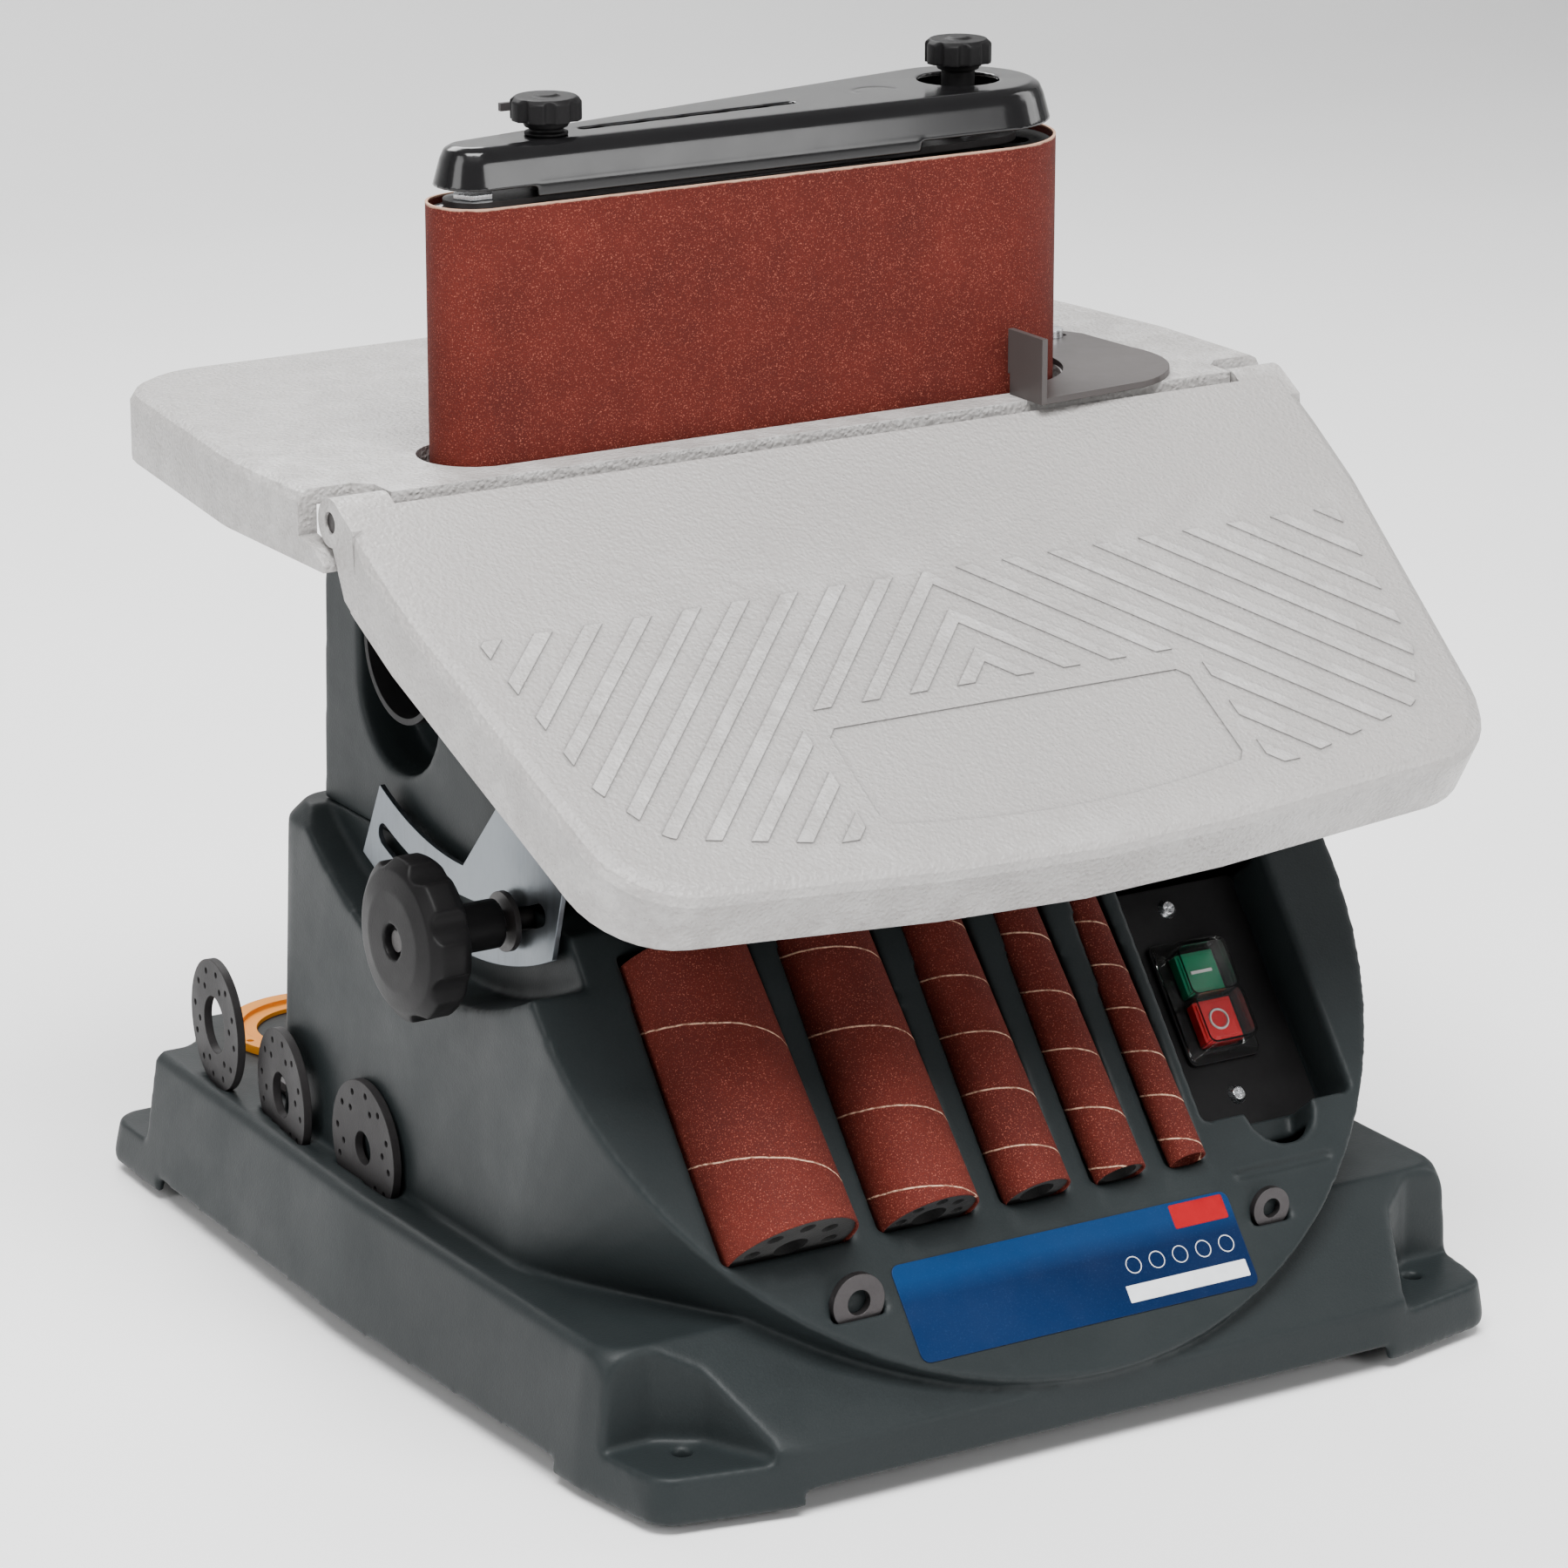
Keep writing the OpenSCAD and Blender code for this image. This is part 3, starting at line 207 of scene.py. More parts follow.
def metal(name, base, rough=(0.22, 0.40), stretch=(1, 1, 1), bump=0.05, tint=None, bev=0.0004, metallic=1.0):
    m = Mat(name)
    co = m.mapping(scale=stretch)
    a = m.noise(60.0, 5, 0.7, src=co)
    b = m.noise(900.0, 3, 0.6, src=co)
    dark = tuple(c * 0.72 for c in base)
    light = tuple(min(1, c * 1.15) for c in base)
    col = m.ramp(a, [(0.3, dark), (0.52, base), (0.75, light)])
    if tint:
        col = m.mix(m.maprange(m.noise(14.0, 3, 0.6), 0.42, 0.62, 0.0, 0.6), col, tint)
    r = m.maprange(m.math("ADD", m.math("MULTIPLY", a, 0.6), m.math("MULTIPLY", b, 0.4)), 0.35, 0.65, rough[0], rough[1])
    nrm = m.bump(b, bump, 0.0003, m.bevel(bev))
    return m.set(color=col, rough=r, metal=metallic, normal=nrm)


MATS = {}
MATS["housing_plastic"] = moulded("housing_plastic", (0.0125, 0.0160, 0.0168), (0.0108, 0.0138, 0.0145), (0.0148, 0.0187, 0.0195), (0.40, 0.52), 0.12, 0.16, 0.0012, 0.16)
MATS["black_plastic"] = moulded("black_plastic", (0.0050, 0.0047, 0.0050), (0.0038, 0.0036, 0.0038), (0.0072, 0.0068, 0.0072), (0.40, 0.55), 0.08, 0.25, 0.0005, 0.12)
MATS["disc_plastic"] = moulded("disc_plastic", (0.0120, 0.0108, 0.0112), (0.0095, 0.0086, 0.0090), (0.0160, 0.0146, 0.0150), (0.45, 0.60), 0.12, 0.3, 0.0005)
MATS["rubber_black"] = moulded("rubber_black", (0.016, 0.016, 0.016), (0.010, 0.010, 0.010), (0.030, 0.029, 0.028), (0.65, 0.82), 0.25, 0.15, 0.0005)
MATS["drum_rubber"] = moulded("drum_rubber", (0.020, 0.020, 0.020), (0.012, 0.012, 0.012), (0.036, 0.035, 0.034), (0.62, 0.80), 0.30, 0.2, 0.0005)
MATS["orange_plastic"] = moulded("orange_plastic", (0.83, 0.27, 0.018), (0.78, 0.24, 0.014), (0.87, 0.31, 0.03), (0.34, 0.46), 0.05, 0.10, 0.0006)
MATS["gear_nylon"] = moulded("gear_nylon", (0.70, 0.66, 0.55), (0.62, 0.58, 0.48), (0.76, 0.72, 0.62), (0.40, 0.55), 0.08, 0.1, 0.0004)
MATS["bright_steel"] = metal("bright_steel", (0.72, 0.73, 0.75), (0.18, 0.34), (1, 1, 12), 0.05)
MATS["zinc_plate"] = metal("zinc_plate", (0.150, 0.168, 0.185), (0.30, 0.44), (1, 6, 1), 0.06, tint=(0.21, 0.23, 0.245))
MATS["dull_steel"] = metal("dull_steel", (0.070, 0.065, 0.066), (0.42, 0.60), (1, 1, 1), 0.15)
MATS["cast_alloy"] = metal("cast_alloy", (0.52, 0.53, 0.54), (0.38, 0.58), (1, 1, 1), 0.35)
MATS["bronze"] = metal("bronze", (0.55, 0.33, 0.13), (0.35, 0.5), (1, 1, 1), 0.2)
MATS["rotor_copper"] = metal("rotor_copper", (0.60, 0.28, 0.12), (0.25, 0.45), (1, 1, 30), 0.3)
MATS["blackened_steel"] = metal("blackened_steel", (0.028, 0.024, 0.024), (0.34, 0.50), (1, 1, 1), 0.12, metallic=0.35)


def backstop_mat():
    """Phosphated sheet steel: warm grey sheen on top, dark in shade."""
    m = Mat("back_stop_sheet")
    a = m.noise(24.0, 5, 0.65)
    col = m.ramp(a, [(0.3, (0.0080, 0.0064, 0.0062)), (0.55, (0.0110, 0.0090, 0.0088)), (0.75, (0.0150, 0.0124, 0.0120))])
    wear = m.maprange(m.pointy(), 0.52, 0.62, 0.0, 0.3)
    col = m.mix(wear, col, (0.16, 0.14, 0.135))
    fine = m.noise(1800.0, 2, 0.5)
    return m.set(color=col, metal=0.0, spec=0.34, rough=m.maprange(a, 0.3, 0.7, 0.34, 0.46), normal=m.bump(fine, 0.06, 0.0003, m.bevel(0.0005)))


MATS["back_stop_sheet"] = backstop_mat()


def table_paint():
    """Powder coat with a fine leather grain over cast alloy."""
    m = Mat("table_paint")
    warp = m.noise(220.0, 2, 0.5)
    co = m.node("ShaderNodeVectorMath", operation="ADD")
    m.link(m.co, co.inputs[0])
    sc = m.node("ShaderNodeVectorMath", operation="SCALE")
    nz = m.node("ShaderNodeTexNoise")
    nz.inputs["Scale"].default_value = 260.0
    nz.inputs["Detail"].default_value = 2.0
    m.link(m.co, nz.inputs["Vector"])
    m.link(nz.outputs["Color"], sc.inputs[0])
    sc.inputs["Scale"].default_value = 0.0016
    m.link(sc.outputs[0], co.inputs[1])
    cells = m.voronoi(640.0, "SMOOTH_F1", 1.0, src=co.outputs[0])
    fine = m.noise(1500.0, 3, 0.6)
    big = m.noise(5.0, 4, 0.55)
    col = m.ramp(big, [(0.3, (0.322, 0.308, 0.299)), (0.5, (0.345, 0.330, 0.320)), (0.72, (0.368, 0.352, 0.341))])
    col = m.mix(m.maprange(cells, 0.15, 0.75, 0.0, 0.22), col, (0.215, 0.207, 0.201))
    wear = m.math("MULTIPLY", m.maprange(m.pointy(), 0.52, 0.60, 0.0, 0.5), m.maprange(m.noise(60.0, 4, 0.7), 0.4, 0.65, 0.0, 1.0))
    col = m.mix(wear, col, (0.56, 0.55, 0.54))
    # painted shade: an ambient occlusion mask darkens the corners round the raised bars toward a dark grey, standing in
    # for the shade in those creases
    crease_shade_ao = m.node("ShaderNodeAmbientOcclusion", samples=6, only_local=True)
    crease_shade_ao.inputs["Distance"].default_value = 0.0024
    col = m.mix(m.maprange(crease_shade_ao.outputs["AO"], 0.72, 0.97, 0.62, 0.0), col, (0.135, 0.130, 0.126))
    r = m.maprange(m.math("ADD", m.math("MULTIPLY", cells, 0.7), m.math("MULTIPLY", warp, 0.3)), 0.2, 0.8, 0.26, 0.42)
    h = m.math("ADD", m.math("MULTIPLY", cells, -1.0), m.math("MULTIPLY", fine, 0.35))
    return m.set(color=col, rough=r, spec=0.5, normal=m.bump(h, 0.95, 0.0007, m.bevel(0.0005)))


MATS["table_paint"] = table_paint()


def abrasive(name, uv=False, seams=None):
    """Bonded grain on cloth. With seams, UV carries (turns, length in mm) of a wound sleeve."""
    m = Mat(name)
    grit = m.voronoi(1500.0, "F1", 1.0)
    grain = m.noise(2600.0, 2, 0.75)
    blot = m.noise(26.0, 4, 0.65)
    col = m.ramp(blot, [(0.28, (0.064, 0.0078, 0.0048)), (0.5, (0.083, 0.0100, 0.0060)), (0.74, (0.106, 0.0140, 0.0086))])
    dark = m.maprange(grain, 0.30, 0.52, 0.75, 0.0)
    col = m.mix(dark, col, (0.036, 0.007, 0.006))
    bright = m.maprange(m.noise(1900.0, 1, 0.5), 0.60, 0.74, 0.0, 0.65)
    col = m.mix(bright, col, (0.36, 0.105, 0.070))
    h = m.math("ADD", m.math("MULTIPLY", grain, 1.0), m.math("MULTIPLY", grit, 0.6))
    if seams:
        uvn = m.node("ShaderNodeUVMap")
        uvn.uv_map = "wind"
        u, v, _ = m.xyz(uvn.outputs[0])
        # distance from the winding seam: v / pitch + u repeats once a turn
        wob = m.maprange(m.noise(90.0, 3, 0.6), 0.3, 0.7, -0.006, 0.006)
        s = m.math("FRACT", m.math("ADD", m.math("ADD", m.math("DIVIDE", v, seams), u), wob))
        d = m.math("ABSOLUTE", m.math("SUBTRACT", s, 0.5))
        line = m.maprange(m.math("MULTIPLY", d, seams), 0.18, 0.42, 1.0, 0.0)
        chip = m.maprange(m.noise(420.0, 3, 0.7), 0.38, 0.55, 0.25, 1.0)
        line = m.math("MULTIPLY", line, chip)
        col = m.mix(line, col, (0.62, 0.38, 0.26))
        h = m.math("ADD", h, m.math("MULTIPLY", line, 3.0))
    else:
        z = m.xyz()[2]
        nz = m.node("ShaderNodeNewGeometry")
        nn = m.xyz(nz.outputs["Normal"])[2]
        rim = m.maprange(m.math("ABSOLUTE", nn), 0.5, 0.8, 0.0, 1.0)
        hi = m.math("ADD", z, m.math("MULTIPLY", m.noise(160.0, 3, 0.6), 0.0012))
        edge = m.maprange(hi, (T + 92.7) * MM, (T + 93.3) * MM, 0.0, 0.8)
        fray = m.math("MAXIMUM", rim, edge)
        col = m.mix(fray, col, (0.50, 0.31, 0.22))
    m.set(color=col, rough=m.maprange(grain, 0.3, 0.7, 0.62, 0.85), spec=0.16, normal=m.bump(h, 0.55, 0.00035, None))
    return m.m


def m_none():
    return None


MATS["abrasive"] = abrasive("abrasive")


def cover_gloss():
    m = Mat("cover_gloss")
    a = m.noise(30.0, 5, 0.7)
    dust = m.noise(1400.0, 3, 0.8)
    col = m.mix(m.maprange(dust, 0.60, 0.80, 0.0, 0.10), (0.0060, 0.0058, 0.0062), (0.08, 0.08, 0.08))
    swirl = m.noise(240.0, 4, 0.7, dist=1.5)
    return m.set(color=col, rough=m.maprange(a, 0.3, 0.7, 0.13, 0.22), spec=0.36, coat=0.18, coat_rough=0.06,
                 normal=m.bump(m.math("ADD", m.math("MULTIPLY", m.noise(22.0, 2, 0.4), 1.0), m.math("MULTIPLY", swirl, 0.03)), 0.10, 0.0012, m.bevel(0.0006)))


MATS["cover_gloss"] = cover_gloss()


def glossy(name, base, rough=(0.16, 0.28), spec=0.5, coat=0.3):
    m = Mat(name)
    a = m.noise(70.0, 4, 0.6)
    col = m.ramp(a, [(0.3, tuple(c * 0.88 for c in base)), (0.7, tuple(min(1, c * 1.10) for c in base))])
    fine = m.noise(900.0, 2, 0.5)
    return m.set(color=col, rough=m.maprange(a, 0.3, 0.7, rough[0], rough[1]), spec=spec, coat=coat, coat_rough=0.1,
                 normal=m.bump(fine, 0.04, 0.0003, m.bevel(0.0005)))


MATS["button_green"] = glossy("button_green", (0.002, 0.225, 0.105))
MATS["button_red"] = glossy("button_red", (0.72, 0.012, 0.018))
MATS["mark_white"] = glossy("mark_white", (0.80, 0.80, 0.78))


def clear_cover():
    m = Mat("clear_cover")
    a = m.noise(120.0, 4, 0.6)
    m.set(color=(0.97, 0.985, 0.985), rough=m.maprange(a, 0.3, 0.7, 0.03, 0.09), trans=1.0, ior=1.42, spec=0.6,
          normal=m.bump(m.noise(60.0, 2, 0.4), 0.12, 0.0006))
    return m.m


MATS["clear_cover"] = clear_cover()


def label_mat():
    """A printed film: two blues in soft bands, no lettering."""
    m = Mat("label_blue")
    x, y, z = m.xyz()
    a = m.math("ADD", m.math("MULTIPLY", x, 9.0), m.math("MULTIPLY", z, 24.0))
    band = m.maprange(m.math("SINE", m.math("MULTIPLY", a, 2.4)), -0.2, 0.9, 0.0, 1.0)
    top = m.maprange(z, 0.060, 0.0665, 0.0, 1.0)
    col = m.mix(m.math("MULTIPLY", band, 0.35), (0.0004, 0.0085, 0.040), (0.0010, 0.020, 0.080))
    col = m.mix(m.math("MULTIPLY", top, 0.4), col, (0.003, 0.045, 0.150))
    dots = m.maprange(m.noise(1600.0, 2, 0.6), 0.55, 0.8, 0.0, 0.06)
    col = m.mix(dots, col, (0.10, 0.20, 0.40))
    return m.set(color=col, rough=m.maprange(m.noise(50.0, 4, 0.6), 0.3, 0.7, 0.34, 0.46), spec=0.13,
                 normal=m.bump(m.noise(300.0, 2, 0.5), 0.05, 0.0002, m.bevel(0.0004)))


MATS["label_blue"] = label_mat()
MATS["label_red"] = glossy("label_red", (0.30, 0.0035, 0.0085), (0.36, 0.48), 0.10, 0.0)
MATS["label_pale"] = glossy("label_pale", (0.66, 0.68, 0.70), (0.34, 0.46), 0.14, 0.0)


# ---------------------------------------------------------------- mesh helpers
def new_object(name, me, mat, body, replaces=()):
    ob = bpy.data.objects.new(name, me)
    scene.collection.objects.link(ob)
    me.materials.clear()
    me.materials.append(MATS[mat] if isinstance(mat, str) else mat)
    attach(ob, body)
    if replaces:
        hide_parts(*replaces)
    return ob


def smooth_all(me, on=True):
    me.polygons.foreach_set("use_smooth", [on] * len(me.polygons))
    me.update()


def evaluated(ob):
    dg = bpy.context.evaluated_depsgraph_get()
    dg.update()
    return bpy.data.meshes.new_from_object(ob.evaluated_get(dg))


def soft_copy(node, name, mat, body, voxel, iters, R=None, fix=None, factor=0.5):
    """The CAD solid of a node with the soft corners of a moulding or casting."""
    R = R or Matrix.Identity(4)
    me = NODES[node].data.copy()
    me.transform(R.inverted())
    bm = bmesh.new()
    bm.from_mesh(me)
    bmesh.ops.remove_doubles(bm, verts=bm.verts, dist=2e-6)
    bm.to_mesh(me)
    bm.free()
    ob = bpy.data.objects.new(name + "_src", me)
    scene.collection.objects.link(ob)
    md = ob.modifiers.new("vox", "REMESH")
    md.mode = "VOXEL"
    md.voxel_size = voxel * MM
    md.adaptivity = 0.0
    md.use_smooth_shade = True
    if iters:
        sm = ob.modifiers.new("soft", "SMOOTH")
        sm.factor = factor
        sm.iterations = iters
    new = evaluated(ob)
    bpy.data.objects.remove(ob)
    if fix:
        fix(new)
    new.transform(R)
    smooth_all(new)
    new.name = name
    return new_object(name, new, mat, body, replaces=(node,))


def inside(poly, p):
    n, c = len(poly), False
    j = n - 1
    for i in range(n):
        (x1, y1), (x2, y2) = poly[i], poly[j]
        if (y1 > p[1]) != (y2 > p[1]) and p[0] < (x2 - x1) * (p[1] - y1) / (y2 - y1) + x1:
            c = not c
        j = i
    return c


def clip(poly, edges):
    """Clips a polygon to half planes (nx, ny, d): nx x + ny y <= d."""
    for nx, ny, d in edges:
        out = []
        for i in range(len(poly)):
            a, b = poly[i - 1], poly[i]
            da, db = nx * a[0] + ny * a[1] - d, nx * b[0] + ny * b[1] - d
            if (da <= 0) != (db <= 0):
                t = da / (da - db)
                out.append((a[0] + t * (b[0] - a[0]), a[1] + t * (b[1] - a[1])))
            if db <= 0:
                out.append(b)
        poly = out
        if len(poly) < 3:
            return []
    return poly


def convex_edges(poly):
    area = sum(poly[i - 1][0] * poly[i][1] - poly[i][0] * poly[i - 1][1] for i in range(len(poly)))
    if area < 0:
        poly = poly[::-1]
    out = []
    for i in range(len(poly)):
        a, b = poly[i - 1], poly[i]
        nx, ny = b[1] - a[1], -(b[0] - a[0])
        out.append((nx, ny, nx * a[0] + ny * a[1]))
    return out


def prism(bm, poly, z0, z1, inset, M):
    """Raised shape with sloping sides: poly at z0, the same pulled in by inset at z1 (mm)."""
    area = sum(poly[i - 1][0] * poly[i][1] - poly[i][0] * poly[i - 1][1] for i in range(len(poly)))
    if area < 0:
        poly = poly[::-1]
    n = len(poly)
    top = []
    for i in range(n):
        a, b, c = Vector(poly[i - 1]), Vector(poly[i]), Vector(poly[(i + 1) % n])
        e1, e2 = (b - a), (c - b)
        if e1.length < 1e-6 or e2.length < 1e-6:
            top.append(tuple(b))
            continue
        n1, n2 = Vector((-e1.y, e1.x)).normalized(), Vector((-e2.y, e2.x)).normalized()
        k = n1 + n2
        q = max(0.35, k.dot(n1))
        top.append(tuple(b + k * (inset / q)))
    lo = [bm.verts.new(M @ Vector((x * MM, y * MM, z0 * MM))) for x, y in poly]
    hi = [bm.verts.new(M @ Vector((x * MM, y * MM, z1 * MM))) for x, y in top]
    bm.faces.new(hi)
    bm.faces.new(lo[::-1])
    for i in range(n):
        j = (i + 1) % n
        bm.faces.new((lo[i], lo[j], hi[j], hi[i]))


def ring_prism(bm, outer, width, z0, z1, M):
    """A closed raised line round a convex outline: outer polygon and width in mm."""
    n = len(outer)
    area = sum(outer[i - 1][0] * outer[i][1] - outer[i][0] * outer[i - 1][1] for i in range(n))
    if area < 0:
        outer = outer[::-1]
    def off(d):
        r = []
        for i in range(n):
            a, b, c = Vector(outer[i - 1]), Vector(outer[i]), Vector(outer[(i + 1) % n])
            n1 = Vector((-(b - a).y, (b - a).x)).normalized()
            n2 = Vector((-(c - b).y, (c - b).x)).normalized()
            k = n1 + n2
            r.append(tuple(b + k * (d / max(0.35, k.dot(n1)))))
        return r
    rows = [(0.0, z0), (width * 0.3, z1), (width * 0.7, z1), (width, z0)]
    loops = [[bm.verts.new(M @ Vector((x * MM, y * MM, z * MM))) for x, y in off(d)] for d, z in rows]
    for k in range(4):
        A, B = loops[k], loops[(k + 1) % 4]
        for i in range(n):
            j = (i + 1) % n
            bm.faces.new((A[i], A[j], B[j], B[i]))


def mesh_from(bm, name, smooth=False):
    bmesh.ops.recalc_face_normals(bm, faces=bm.faces)
    me = bpy.data.meshes.new(name)
    bm.to_mesh(me)
    bm.free()
    smooth_all(me, smooth)
    return me


# ---------------------------------------------------------------- the CAD nodes keep their shape and get a finish
FINISH = {
    "rubber_feet": "rubber_black", "bottom_cover": "housing_plastic", "dust_port": "black_plastic", "table_bolts": "bright_steel",
    "hinge_pins": "blackened_steel", "motor_housing": "cast_alloy", "gear_plate": "cast_alloy", "spindle_bushes": "bronze",
    "guide_bush": "bronze", "switch_plate": "black_plastic", "switch_body": "black_plastic", "switch_cover": "clear_cover",
    "panel_screws": "bright_steel", "rating_label": "label_blue", "cable_gland": "rubber_black", "back_stop": "back_stop_sheet",
    "back_stop_screw": "bright_steel", "spare_washers": "dull_steel", "drum_50": "drum_rubber", "drum_38": "drum_rubber",
    "drum_26": "drum_rubber", "drum_19": "drum_rubber", "insert_disc_large_bore": "disc_plastic",
    "insert_disc_mid_bore": "disc_plastic", "insert_disc_small_bore": "disc_plastic", "insert_ring": "orange_plastic",
    "hex_key": "blackened_steel", "tilt_quadrant": "zinc_plate", "quadrant_screws": "bright_steel", "tilt_bolt": "blackened_steel",
    "belt_frame": "blackened_steel", "platen": "blackened_steel", "idler_axle": "bright_steel", "sanding_belt": "abrasive",
    "tension_spring": "dull_steel", "guide_rod": "bright_steel", "frame_bushes": "bronze", "tension_lever": "blackened_steel",
    "idler_roller": "cast_alloy", "spindle": "bright_steel", "drive_drum": "drum_rubber", "driven_gear": "gear_nylon",
    "motor_rotor": "rotor_copper", "cooling_fan": "black_plastic", "cam_wheel": "gear_nylon",
    "start_button": "button_green", "stop_button": "button_red", "fixed_table": "table_paint", "tilt_table": "table_paint",
}
for node, mat in FINISH.items():
    o = NODES[node]
    if not o.material_slots:
        o.data.materials.append(MATS[mat])
    for s in o.material_slots:
        s.link = "OBJECT"
        s.material = MATS[mat]

# ---------------------------------------------------------------- mouldings and castings
soft_copy("base_housing", "base_moulding", "housing_plastic", "housing", 1.15, 14)
soft_copy("column_housing", "column_moulding", "housing_plastic", "housing", 1.3, 10)


soft_copy("belt_cover", "belt_cover_shell", "cover_gloss", "belt_unit", 0.8, 4)
soft_copy("tilt_knob", "tilt_lock_knob", "black_plastic", "tilt_lock", 0.7, 4)
soft_copy("cover_knob", "cover_star_knob", "black_plastic", "cover_knob", 0.45, 3)
soft_copy("spindle_knob", "spindle_star_knob", "black_plastic", "spindle", 0.45, 3)


# wound sleeves
def sleeve(i, node, pitch, phase):
    r, h, wall = SLEEVES[i][1], 115.0, 1.1
    M = sleeve_axis(i) @ Matrix.Translation((0, 0, 0.4 * MM))
    seg, rows = 96, 60
    bm = bmesh.new()
    uvl = bm.loops.layers.uv.new("wind")
    prof = [(r - wall, 0.15), (r - wall, h - 0.15), (r - wall + 0.2, h), (r - 0.2, h)]
    prof += [(r, h - 0.15 - (h - 0.3) * k / rows) for k in range(rows + 1)] + [(r - 0.2, 0.0), (r - wall + 0.2, 0.0)]
    grid = []
    for a in range(seg + 1):
        t = 2 * math.pi * a / seg
        row = []
        for (rr, z) in prof:
            # the strip's overlap stands a hair proud of the tube
            s = ((z / pitch + a / seg + phase) % 1.0 - 0.5) * pitch
            lift = 0.12 * math.exp(-(s / 0.5) ** 2) if rr > r - 0.01 else 0.0
            row.append(((rr - 0.12 + lift) * math.cos(t) * MM if rr > r - 0.01 else rr * math.cos(t) * MM,
                        (rr - 0.12 + lift) * math.sin(t) * MM if rr > r - 0.01 else rr * math.sin(t) * MM, z * MM))
        grid.append(row)
    vs = [[bm.verts.new(M @ Vector(p)) for p in row] for row in grid[:-1]]
    m = len(prof)
    for a in range(seg):
        b = (a + 1) % seg
        for k in range(m):
            l = (k + 1) % m
            f = bm.faces.new((vs[a][k], vs[b][k], vs[b][l], vs[a][l]))
            for lp, (uu, kk) in zip(f.loops, ((a, k), (a + 1, k), (a + 1, l), (a, l))):
                lp[uvl].uv = (uu / seg + phase, prof[kk][1])
    bmesh.ops.recalc_face_normals(bm, faces=bm.faces)
    me = bpy.data.meshes.new(node + "_wound")
    bm.to_mesh(me)
    bm.free()
    smooth_all(me)
    new_object(node + "_wound", me, abrasive("abrasive_" + node, seams=pitch), "housing", replaces=(node,))


for i, (node, pitch, phase) in enumerate((("sleeve_50", 53.0, 0.30), ("sleeve_38", 32.0, 0.62), ("sleeve_26", 23.0, 0.15),
                                          ("sleeve_19", 24.0, 0.80), ("sleeve_13", 18.0, 0.45))):
    sleeve(i, node, pitch, phase)


# marks on the push buttons
def box_poly(x0, y0, x1, y1, r=0.0, n=4):
    if r <= 0:
        return [(x0, y0), (x1, y0), (x1, y1), (x0, y1)]
    out = []
    for cx, cy, a0 in ((x1 - r, y0 + r, -90), (x1 - r, y1 - r, 0), (x0 + r, y1 - r, 90), (x0 + r, y0 + r, 180)):
        for k in range(n + 1):
            a = math.radians(a0 + 90 * k / n)
            out.append((cx + r * math.cos(a), cy + r * math.sin(a)))
    return out


bm = bmesh.new()
prism(bm, box_poly(103.7, 174.2, 113.1, 175.4), -16.3, -15.85, 0.05, PANEL)
new_object("start_mark", mesh_from(bm, "start_mark"), "mark_white", "start_button")
bm = bmesh.new()
ring = [(108.4 + 4.3 * math.cos(2 * math.pi * k / 48), 155.4 + 4.3 * math.sin(2 * math.pi * k / 48)) for k in range(48)]
ring_prism(bm, ring, 1.0, -16.3, -15.85, PANEL)
new_object("stop_mark", mesh_from(bm, "stop_mark"), "mark_white", "stop_button")

# print on the label: plain patches only
bm = bmesh.new()
prism(bm, box_poly(46.5, 76.8, 70.0, 86.0, 0.8), 0.30, 0.44, 0.03, PANEL)
new_object("label_patch", mesh_from(bm, "label_patch"), "label_red", "housing")
bm = bmesh.new()
prism(bm, box_poly(17.5, 54.0, 70.0, 60.5, 0.4), 0.30, 0.44, 0.03, PANEL)
for k in range(5):
    cx = 24.0 + 10.2 * k
    ring = [(cx + 3.4 * math.cos(2 * math.pi * q / 32), 67.6 + 3.4 * math.sin(2 * math.pi * q / 32)) for q in range(32)]
    ring_prism(bm, ring, 0.55, 0.30, 0.44, PANEL)
new_object("label_strip", mesh_from(bm, "label_strip"), "label_pale", "housing")

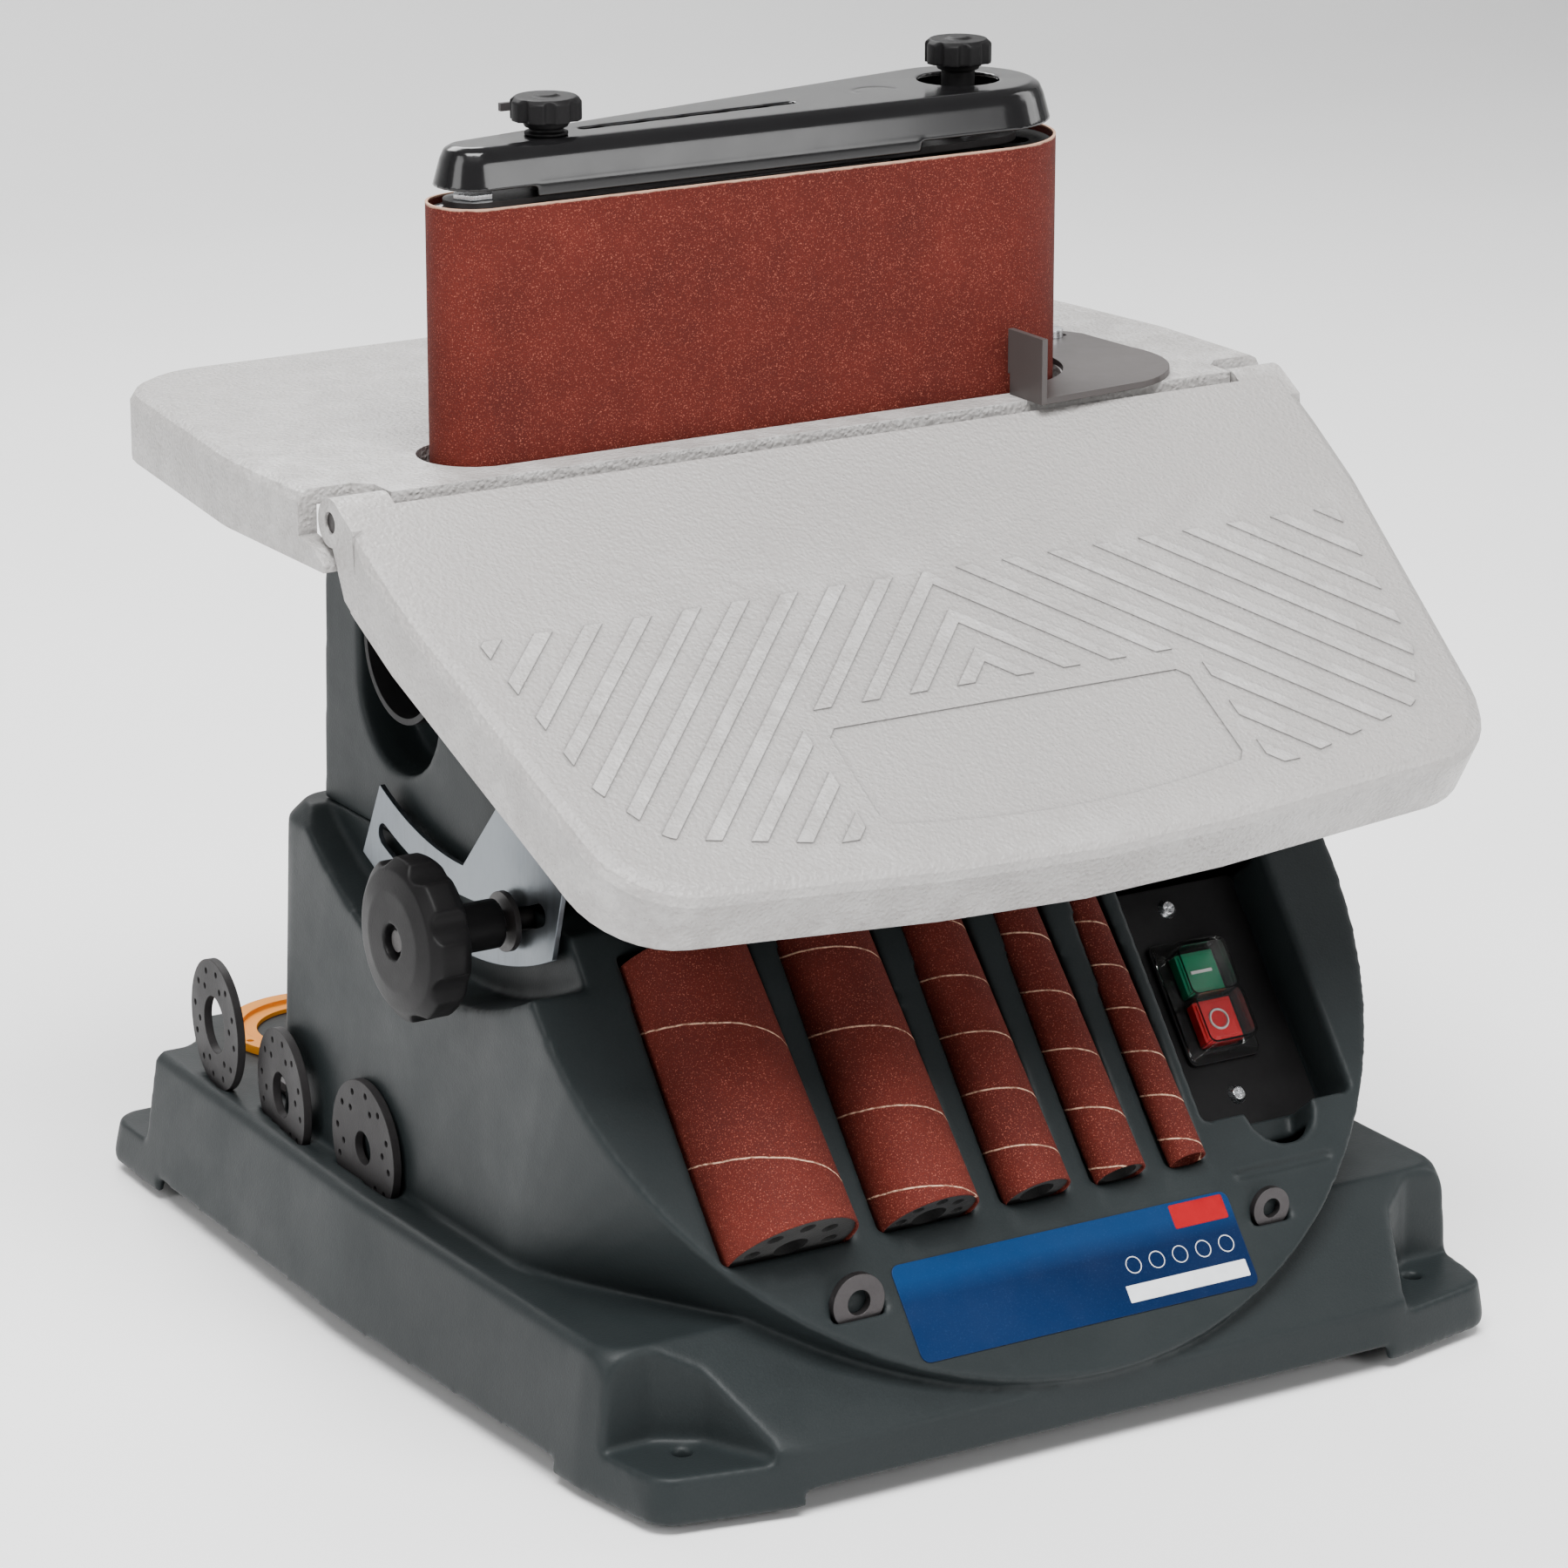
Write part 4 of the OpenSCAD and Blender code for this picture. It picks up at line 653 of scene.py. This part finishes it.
# ---------------------------------------------------------------- set, light and camera
floor_me = bpy.data.meshes.new("floor")
fb = bmesh.new()
pts = []
for k in range(13):
    a = math.radians(90 * k / 12)
    pts.append((1.9 + 1.2 * math.sin(a), 1.2 - 1.2 * math.cos(a)))
profile = [(-6.0, 0.0)] + pts + [(3.1, 6.0)]
rows = []
for x in (-7.0, 7.0):
    rows.append([fb.verts.new((x, y, z)) for y, z in profile])
for k in range(len(profile) - 1):
    fb.faces.new((rows[0][k], rows[1][k], rows[1][k + 1], rows[0][k + 1]))
fb.to_mesh(floor_me)
fb.free()
smooth_all(floor_me)
floor = bpy.data.objects.new("floor", floor_me)
scene.collection.objects.link(floor)
fm = Mat("floor_paper")
fcol = fm.ramp(fm.noise(3.0, 3, 0.5), [(0.3, (0.93, 0.93, 0.93)), (0.7, (0.96, 0.96, 0.96))])
floor_me.materials.append(fm.set(color=fcol, rough=0.85, spec=0.2))


def area(name, loc, target, size, power, color=(1, 1, 1), size_y=None):
    d = bpy.data.lights.new(name, "AREA")
    d.energy = power
    d.color = color
    d.shape = "RECTANGLE"
    d.size = size
    d.size_y = size_y or size
    o = bpy.data.objects.new(name, d)
    o.location = loc
    o.rotation_euler = (Vector(target) - Vector(loc)).to_track_quat("-Z", "Y").to_euler()
    scene.collection.objects.link(o)
    return o


area("key_top", (-0.5, -1.0, 2.3), (0, -0.05, 0.2), 1.7, 132, size_y=1.1)
area("left_strip", (-2.1, -0.4, 1.1), (0, 0, 0.2), 0.9, 20, size_y=1.4)
area("front_fill", (0.9, -2.5, 1.0), (0, 0, 0.2), 1.3, 27, size_y=0.9)
area("right_strip", (2.0, -0.3, 1.2), (0, 0, 0.25), 0.8, 16, size_y=1.4)
area("back_top", (0.2, 1.6, 1.9), (0, 0, 0.3), 1.5, 52, size_y=0.9)
world = bpy.data.worlds.new("studio")
scene.world = world
world.use_nodes = True
bg = world.node_tree.nodes["Background"]
bg.inputs[0].default_value = (1.0, 1.0, 1.0, 1.0)
bg.inputs[1].default_value = 0.22

cam_data = bpy.data.cameras.new("camera")
cam_data.lens = 135.26
cam_data.sensor_width = 36.0
cam_data.clip_start = 0.05
cam = bpy.data.objects.new("camera", cam_data)
cam.location = (-1.1135, (-1806.8 + Y0) * MM, 0.8397)
cam.rotation_euler = (math.radians(90 - 16.96), 0.0, math.radians(-31.43))
scene.collection.objects.link(cam)
scene.camera = cam
